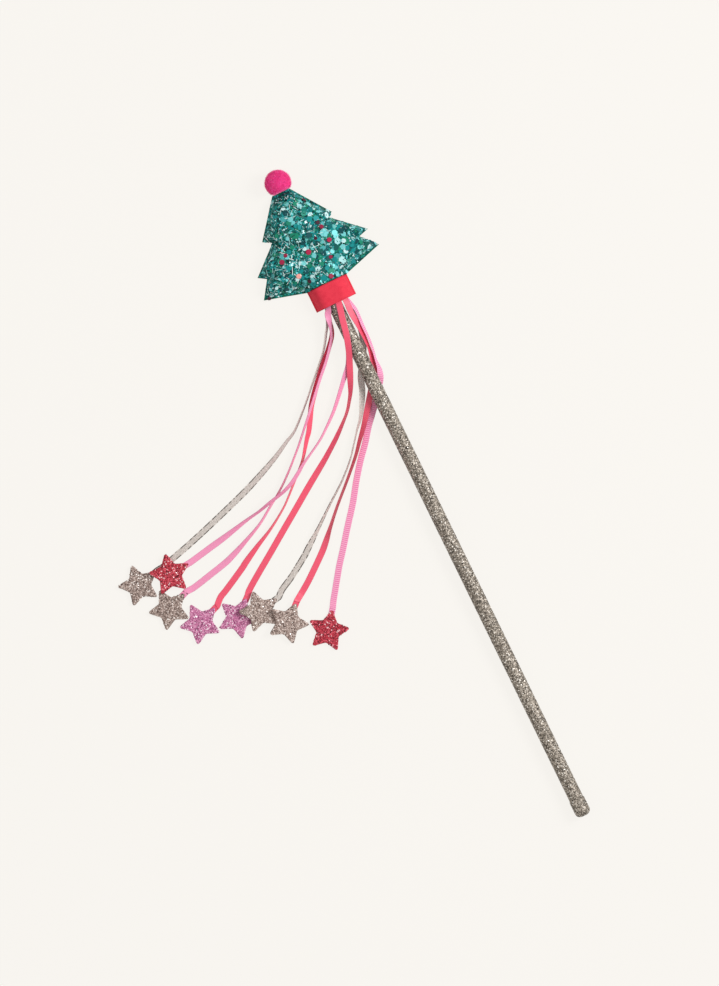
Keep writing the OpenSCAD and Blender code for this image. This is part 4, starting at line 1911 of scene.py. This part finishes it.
@dataclass
class Streamer:
    """A ribbon from the trunk band to its star.

    Attributes:
        number: Its number, from the outermost on the left.
        route: Points from the band to the star: place and height in millimetres, and roll in degrees.
        fold: Number of the point where the free end lifts from the table; not used.
        end: Where it ends.
        finish: Finish of the ribbon.
        slot: The record's material slot of the ribbon; not used.
        flecks: Glitter of the star.
        star_slot: The record's material slot of the star.
        width: Width of the ribbon.
        thick: Thickness of the ribbon.
        section: One face from side to side: share of the half width and share of the thickness.
        steps: Steps of curve between two points.
        lead: Lengths before the star's tip where the ribbon already lies as it does in the star.
        tail: Length of ribbon inside the star.
        solid_thick: Thickness of the room for the ribbon inside the star.
        bend_room: Length on each side of the fold over which the ribbon is to bend; not used.
    """

    number: int
    route: Rows
    fold: int
    end: RibbonEnd
    finish: RibbonFinish
    slot: str
    flecks: Flecks
    star_slot: str
    width: float = 3.2 * MM
    thick: float = 0.22 * MM
    section: Rows = (
        (-1.0, 0.2), (-0.94, 0.5), (-0.8, 0.5), (-0.4, 0.5), (0.0, 0.5), (0.4, 0.5), (0.8, 0.5), (0.94, 0.5),
        (1.0, 0.2),
    )
    steps: int = 7
    lead: Span = (1.6 * MM, 0.2 * MM)
    tail: float = 8.0 * MM
    solid_thick: float = 0.3 * MM
    bend_room: float = 7.0 * MM

    def build(self, star: Star) -> None:
        """Args:
            star: The sizes of all stars.
        """
        pieces = star.build(self.number, self.end, self.flecks, self.star_slot)
        path = self._path(star)
        ribbon = self._ribbon(path)
        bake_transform(ribbon)
        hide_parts(f"ribbon_{self.number}", f"ribbon_{self.number}_end")

    def _path(self, star: Star) -> np.ndarray:
        """Finds close points of the whole route, with the last of them inside the star.

        Args:
            star: The sizes of the star.

        Returns:
            The points in metres, with the roll in degrees.
        """
        place = self.end.matrix()
        level = star.back + self.solid_thick / 2
        turn = place.to_3x3()
        along = turn @ Vector((-1, 0, 0))
        across = turn @ Vector((0, -1, 0))
        side = Vector((-along.y, along.x, 0)).normalized()
        roll = math.degrees(math.atan2(across.dot(along.cross(side)), across.dot(side)))
        rows = [(x * MM, y * MM, z * MM, r) for x, y, z, r in self.route]
        for ahead in (*self.lead, -self.tail):
            rows.append((*(place @ Vector((star.reach + ahead, 0, level))), roll))
        return smooth_curve(np.array(rows), self.steps)

    def _ribbon(self, path: np.ndarray) -> bpy.types.Object:
        """Builds the ribbon as a thin strip with its own map across and along it.

        Args:
            path: Close points of its middle line, with the roll in degrees.

        Returns:
            The ribbon.
        """
        section = self.section + tuple((s, -t) for s, t in reversed(self.section))
        count = len(section)
        last = len(path) - 1
        made = Surface()
        chart = []
        run = 0.0
        for i, row in enumerate(path):
            here = Vector(row[:3])
            ahead = Vector(path[min(i + 1, last)][:3])
            behind = Vector(path[max(i - 1, 0)][:3])
            run += (here - behind).length / MM
            along = (ahead - behind).normalized()
            level = Vector((-along.y, along.x, 0)).normalized()
            roll = math.radians(row[3])
            across = level * math.cos(roll) + along.cross(level) * math.sin(roll)
            through = along.cross(across)
            for s, t in section:
                made.points.append(here + across * (s * self.width / 2) + through * (t * self.thick))
                chart.append(((s + 1) / 2, run))
        for i in range(last):
            made.ring_strip(i * count, (i + 1) * count, count)
        for i in (0, last):
            made.end_faces(i * count, count)
        piece = made.piece(f"streamer_ribbon_{self.number}", self.finish.material())
        layer = piece.data.uv_layers.new(name="run")
        for loop in piece.data.loops:
            layer.data[loop.index].uv = chart[loop.vertex_index]
        return piece


STREAMERS = (
    Streamer(
        1,
        (
            (-5.4, 112, 4.7, -87), (-6.2, 105, 5.2, -80), (-7.6, 101, 4.9, -72), (-9, 97.5, 4.4, -68),
            (-11.4, 94, 3.7, -68), (-14, 90, 2.6, -70), (-17.5, 85.5, 2, -72), (-23, 80, 1.8, -73),
            (-29, 74, 1.8, -75), (-37, 66, 1.8, -75), (-46.5, 57.5, 1.7, -70), (-53, 54, 1.6, -58),
            (-62.5, 49, 1.3, -42), (-78, 42.5, 0.6, -12), (-89.5, 38.5, 0.3, 0), (-103.5, 34, 0.3, 0),
            (-118.5, 29.5, 0.3, 0), (-128, 27, 0.3, 0), (-135, 25.2, 0.5, 0),
        ),
        15, RibbonEnd(-150.5, 22, 0, 13.2), SILVER, "ribbon_silver", GOLD_FLECKS, "star_gold",
    ),
    Streamer(
        2,
        (
            (-0.2, 112, 8.8, -12), (0.8, 106, 8.9, 0), (-0.8, 97, 8.9, 0), (-2.6, 88.5, 8.9, 0),
            (-5.2, 80.5, 7.7, 15), (-8.4, 74.5, 5.2, -10), (-13, 70, 3.4, -45), (-20.5, 62, 2.2, -57),
            (-25.5, 57, 2, -62), (-31.5, 52, 1.9, -68), (-37.5, 47.5, 2, -72), (-44.5, 43.5, 2.8, -72),
            (-50, 40.5, 4.2, -65), (-54.5, 37.5, 4.7, -55), (-59.5, 34.5, 4.7, -55), (-64.5, 32.5, 4.7, -60),
            (-69, 31.4, 4.8, -60), (-74.5, 30.2, 4.7, -62), (-80.5, 28.8, 3, -66), (-88.5, 27.5, 1.7, -60),
            (-100.5, 25, 1.1, -30), (-109, 23.5, 0.5, 0), (-116, 22.2, 0.5, 0),
        ),
        21, RibbonEnd(-134.4, 20, 1.2, 5, 5.9, 180), PINK, "ribbon_pink", RED_FLECKS, "star_red",
    ),
    Streamer(
        3,
        (
            (-3.6, 112, 8, 40), (-4.8, 105, 7.9, 28), (-6.4, 102, 7.4, 0), (-7.2, 98.5, 6.3, -40),
            (-8.2, 95, 5.2, -65), (-9.6, 91.5, 4.2, -68), (-12, 88, 3.4, -66), (-17.5, 81.5, 2.6, -65),
            (-23.5, 75.5, 2.5, -65), (-29.5, 69.2, 3, -66), (-34, 64.5, 4.4, -68), (-38, 60.2, 4.9, -70),
            (-42.7, 55.4, 3.8, -72), (-46, 52, 2.4, -73), (-49.5, 48.5, 1.8, -74), (-57, 41.5, 1.7, -74),
            (-63.5, 36, 1.7, -74), (-69, 32, 1.7, -72), (-74.5, 28.5, 1.7, -70), (-83, 23, 1.6, -68),
            (-94, 18, 1.4, -50), (-103, 14.4, 0.7, -20), (-108, 12.9, 0.3, 0), (-117.5, 10.8, 0.3, 0),
            (-126, 9, 0.4, 0),
        ),
        22, RibbonEnd(-142.1, 4.6, 0, 20), PINK, "ribbon_pink", GOLD_FLECKS, "star_gold",
    ),
    Streamer(
        4,
        (
            (-5, 112, 4.7, -87), (-5.4, 105, 4, -84), (-6.6, 99, 2.9, -66), (-8.8, 92.5, 2, -45),
            (-13.5, 86.8, 1.6, -40), (-18.5, 81.8, 1.2, -32), (-24.2, 75.9, 1.1, -30),
            (-29.2, 70.4, 1.1, -30), (-33.8, 64.8, 1.2, -34), (-37, 59.5, 1.3, -38), (-40.5, 54, 1.3, -40),
            (-43, 51, 1.4, -48), (-46, 47, 1.6, -58), (-49.5, 42.5, 1.6, -66), (-53, 39, 1.6, -68),
            (-57.5, 35, 1.6, -70), (-64, 29, 1.7, -74), (-69.5, 24.5, 1.7, -74), (-79, 18.5, 1.6, -67),
            (-89, 13.5, 1.3, -45), (-97, 9.2, 0.6, -15), (-101, 6.8, 0.3, 0), (-112, 1, 0.3, 0),
            (-116.5, -1.2, 0.4, 0),
        ),
        21, RibbonEnd(-131.3, -8.6, 0, 20.5), CORAL, "ribbon_coral", PINK_FLECKS, "star_pink",
    ),
    Streamer(
        5,
        (
            (-0.1, 112, 9.2, -12), (1.2, 106, 9.3, 0), (-0.8, 97, 9.3, 0), (-2.6, 88.5, 9.3, 0),
            (-5.2, 80.5, 8.2, 15), (-8.4, 73, 5.8, 0), (-11.5, 66, 3.5, 30), (-13.5, 62, 2.8, 50),
            (-15.5, 59, 2.3, 58), (-18.5, 55, 1.9, 62), (-22, 51.5, 1.7, 62), (-29, 45.5, 1.4, 45),
            (-35, 41, 1.2, 38), (-41, 36.8, 0.9, 28), (-52.5, 29.3, 0.4, 5), (-64, 21.5, 0.3, 0),
            (-74, 14.8, 0.3, 0), (-84, 8, 0.3, 0), (-96, 0, 0.3, 0), (-102, -4.3, 0.4, 0),
        ),
        16, RibbonEnd(-113.3, -14.3, 0, 40.3), CORAL, "ribbon_coral", PINK_FLECKS, "star_pink",
    ),
    Streamer(
        6,
        (
            (2.6, 112, 3.1, -116), (5.2, 105, 4.4, -75), (6.4, 100, 4, -36), (6.3, 95, 2.7, -25),
            (5.4, 89, 1.7, -18), (3.8, 83, 0.9, -8), (1, 77, 0.4, 0), (-2, 72, 0.3, 0),
            (-5.2, 67, 0.3, 0), (-7.6, 60.5, 0.6, -15), (-10.5, 55, 1.1, -35), (-14.5, 48.5, 1.6, -60),
            (-18.6, 43.9, 1.7, -74), (-23.6, 37.7, 1.8, -78), (-28.5, 31.8, 1.8, -78), (-37, 24, 1.8, -76),
            (-47, 16.5, 1.7, -72), (-58.5, 7.5, 1.5, -55), (-66.5, 1.5, 0.7, -15), (-70, -1.2, 0.3, 0),
            (-80, -7.5, 0.3, 0), (-87, -11.2, 0.5, 0),
        ),
        19, RibbonEnd(-102.2, -16.2, 1.55, 11, 8, 180), SILVER, "ribbon_silver", GOLD_FLECKS, "star_gold",
    ),
    Streamer(
        7,
        (
            (3.1, 112, 7, -64), (4.7, 105, 7.9, -28), (4.5, 98, 7, -22), (5, 91, 5.2, -36),
            (5.1, 84, 3.6, -50), (4.8, 78, 2.3, -58), (3.6, 71.5, 1.3, -35), (1.6, 66, 0.9, -6),
            (-1.8, 61, 0.8, 0), (-5.6, 56, 0.7, 0), (-9.6, 50.8, 1, 15), (-14.3, 44.8, 1.5, 38),
            (-20, 38.3, 1.6, 52), (-25.3, 32.2, 1.6, 60), (-34.2, 23.4, 1.6, 65), (-44.2, 14, 1.6, 65),
            (-52, 6, 1.5, 55), (-57.5, 0.2, 0.8, 20), (-62, -4, 0.3, 0), (-73, -12.8, 0.3, 0),
            (-79.5, -17.3, 0.5, 0),
        ),
        18, RibbonEnd(-92, -27.5, 1.75, 42, 9.8, 133), CORAL, "ribbon_coral", GOLD_FLECKS, "star_gold",
    ),
    Streamer(
        8,
        (
            (2.6, 112, 6.7, -64), (5.2, 105, 6.7, -38), (6.4, 101.5, 5.5, -48), (7.3, 97.5, 4.7, -62),
            (6.9, 89, 4.1, -64), (6.8, 82, 2.9, -70), (6.3, 77, 2, -72), (5.3, 71.5, 1.75, -72),
            (4.8, 66.3, 1.2, -42), (3, 61.6, 0.4, -4), (-0.4, 57.5, 0.25, 0), (-4.6, 52, 0.25, 0),
            (-9, 47, 0.25, 0), (-12.6, 43, 0.25, 0), (-18, 36, 0.25, 0), (-23.5, 29.7, 0.25, 0),
            (-30, 21.3, 0.25, 0), (-36.5, 12, 0.3, 0), (-44, 2.6, 0.3, 0), (-51, -6.5, 0.3, 0),
            (-56.5, -13.4, 0.3, 0), (-63, -22.5, 0.3, 0), (-66.5, -27.4, 0.4, 0),
        ),
        19, RibbonEnd(-75.6, -40, 0, 53), PINK_RIBBED, "ribbon_pink", RED_FLECKS, "star_red",
    ),
)


@dataclass(frozen=True)
class Lamp:
    """A soft lamp that shines on the middle of the picture.

    Attributes:
        name: Its name.
        place: Where it stands from there: to the picture's right, up in it and towards the viewer.
        size: Width of its disk.
        power: Its power.
    """

    name: str
    place: tuple[float, float, float]
    size: float
    power: float


@dataclass
class Studio:
    """The floor, the light and the camera.

    Attributes:
        centre: Point of the floor in the middle of the picture.
        turn: Turn of the picture about the upright, in degrees.
        span: Length of floor that the picture's height shows.
        distance: Height of the camera.
        sensor: Width of the camera's sensor, in millimetres.
        farthest: Farthest distance that the camera sees.
        backdrop: Colour of the floor and of the room behind it.
        room_light: Strength of the light that comes from all round.
        lamps: The lamps.
        floor_half: Half width of the floor.
        floor_drop: How far the floor lies under the wand.
        floor_glow: Share of the backdrop's own colour in the floor that the camera sees.
        floor_roughness: How matt the floor is.
    """

    centre: Span = (-31.3 * MM, 15.1 * MM)
    turn: float = -26.03
    span: float = 493 * MM
    distance: float = 6.0
    sensor: float = 36.0
    farthest: float = 20.0
    backdrop: Colour = srgb(249, 246, 241)
    room_light: float = 0.47
    lamps: tuple[Lamp, ...] = (
        Lamp("key", (0.85, 0.35, 0.95), 0.6, 12.4),
        Lamp("fill", (-0.8, 0.1, 0.8), 0.9, 1.2),
    )
    floor_half: float = 4.0
    floor_drop: float = 0.2 * MM
    floor_glow: float = 0.93
    floor_roughness: float = 0.9

    def build(self) -> None:
        """Builds everything that isn't part of the object."""
        self._room()
        self._floor()
        for lamp in self.lamps:
            self._light(lamp)
        self._camera()
        bpy.context.scene.view_settings.view_transform = "Standard"

    @staticmethod
    def _seen(graph: Graph) -> bpy.types.NodeSocket:
        """Tells rays that see the backdrop itself from those that light the object.

        Args:
            graph: The graph of the room or the floor.

        Returns:
            1 for rays that see it, and 0 for the others.
        """
        path = graph.add("ShaderNodeLightPath").outputs
        seen = graph.math("MAXIMUM", path["Is Camera Ray"], path["Is Glossy Ray"])
        return graph.math("MAXIMUM", seen, path["Is Transmission Ray"])

    def _room(self) -> None:
        """Sets an even pale room."""
        world = bpy.data.worlds.new("room")
        world.use_nodes = True
        graph = Graph(world.node_tree)
        background = world.node_tree.nodes["Background"]
        background.inputs["Color"].default_value = self.backdrop
        strength = graph.add(
            "ShaderNodeMapRange",
            {"Value": self._seen(graph), "To Min": self.room_light, "To Max": 1.0},
        ).outputs[0]
        graph.feed(background.inputs["Strength"], strength)
        bpy.context.scene.world = world

    def _floor(self) -> None:
        """Builds a wide pale floor that keeps a faint shadow."""
        corners = ((-1, -1), (1, -1), (1, 1), (-1, 1))
        made = Surface([(x * self.floor_half, y * self.floor_half, -self.floor_drop) for x, y in corners])
        made.faces.append((0, 1, 2, 3))
        material, graph, shader = new_material("floor")
        shader.inputs["Base Color"].default_value = self.backdrop
        shader.inputs["Roughness"].default_value = self.floor_roughness
        shader.inputs["Specular IOR Level"].default_value = 0.0
        glow = graph.add("ShaderNodeEmission", {"Color": self.backdrop, "Strength": 1.0})
        share = graph.math("MULTIPLY", self._seen(graph), self.floor_glow)
        both = graph.add("ShaderNodeMixShader", {0: share, 1: shader.outputs[0], 2: glow.outputs[0]})
        graph.feed(material.node_tree.nodes["Material Output"].inputs[0], both.outputs[0])
        made.piece("floor", material)

    def _light(self, lamp: Lamp) -> None:
        """Sets up one lamp.

        Args:
            lamp: The lamp.
        """
        data = bpy.data.lights.new(lamp.name, "AREA")
        data.shape = "DISK"
        data.size = lamp.size
        data.energy = lamp.power
        made = bpy.data.objects.new(lamp.name, data)
        turn = Matrix.Rotation(math.radians(self.turn), 3, "Z")
        middle = Vector((*self.centre, 0))
        made.location = middle + turn @ Vector(lamp.place)
        made.rotation_euler = (middle - made.location).to_track_quat("-Z", "Y").to_euler()
        bpy.context.scene.collection.objects.link(made)

    def _camera(self) -> None:
        """Sets up the camera, straight above the picture's middle."""
        data = bpy.data.cameras.new("camera")
        data.sensor_width = self.sensor
        data.lens = self.sensor / self.span * self.distance
        data.clip_end = self.farthest
        camera = bpy.data.objects.new("camera", data)
        camera.location = (*self.centre, self.distance)
        camera.rotation_euler = (0, 0, math.radians(self.turn))
        bpy.context.scene.collection.objects.link(camera)
        bpy.context.scene.camera = camera


def main() -> None:
    """Builds the scene, one sub-assembly after another."""
    logging.basicConfig(level=logging.INFO, format="%(name)s: %(message)s")
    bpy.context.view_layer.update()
    Studio().build()
    star = Star()
    for streamer in STREAMERS:
        streamer.build(star)
    Stick().build()
    TrunkBand().build()
    PaddedTree().build()
    Pompom().build()


if __name__ == "__main__":
    main()
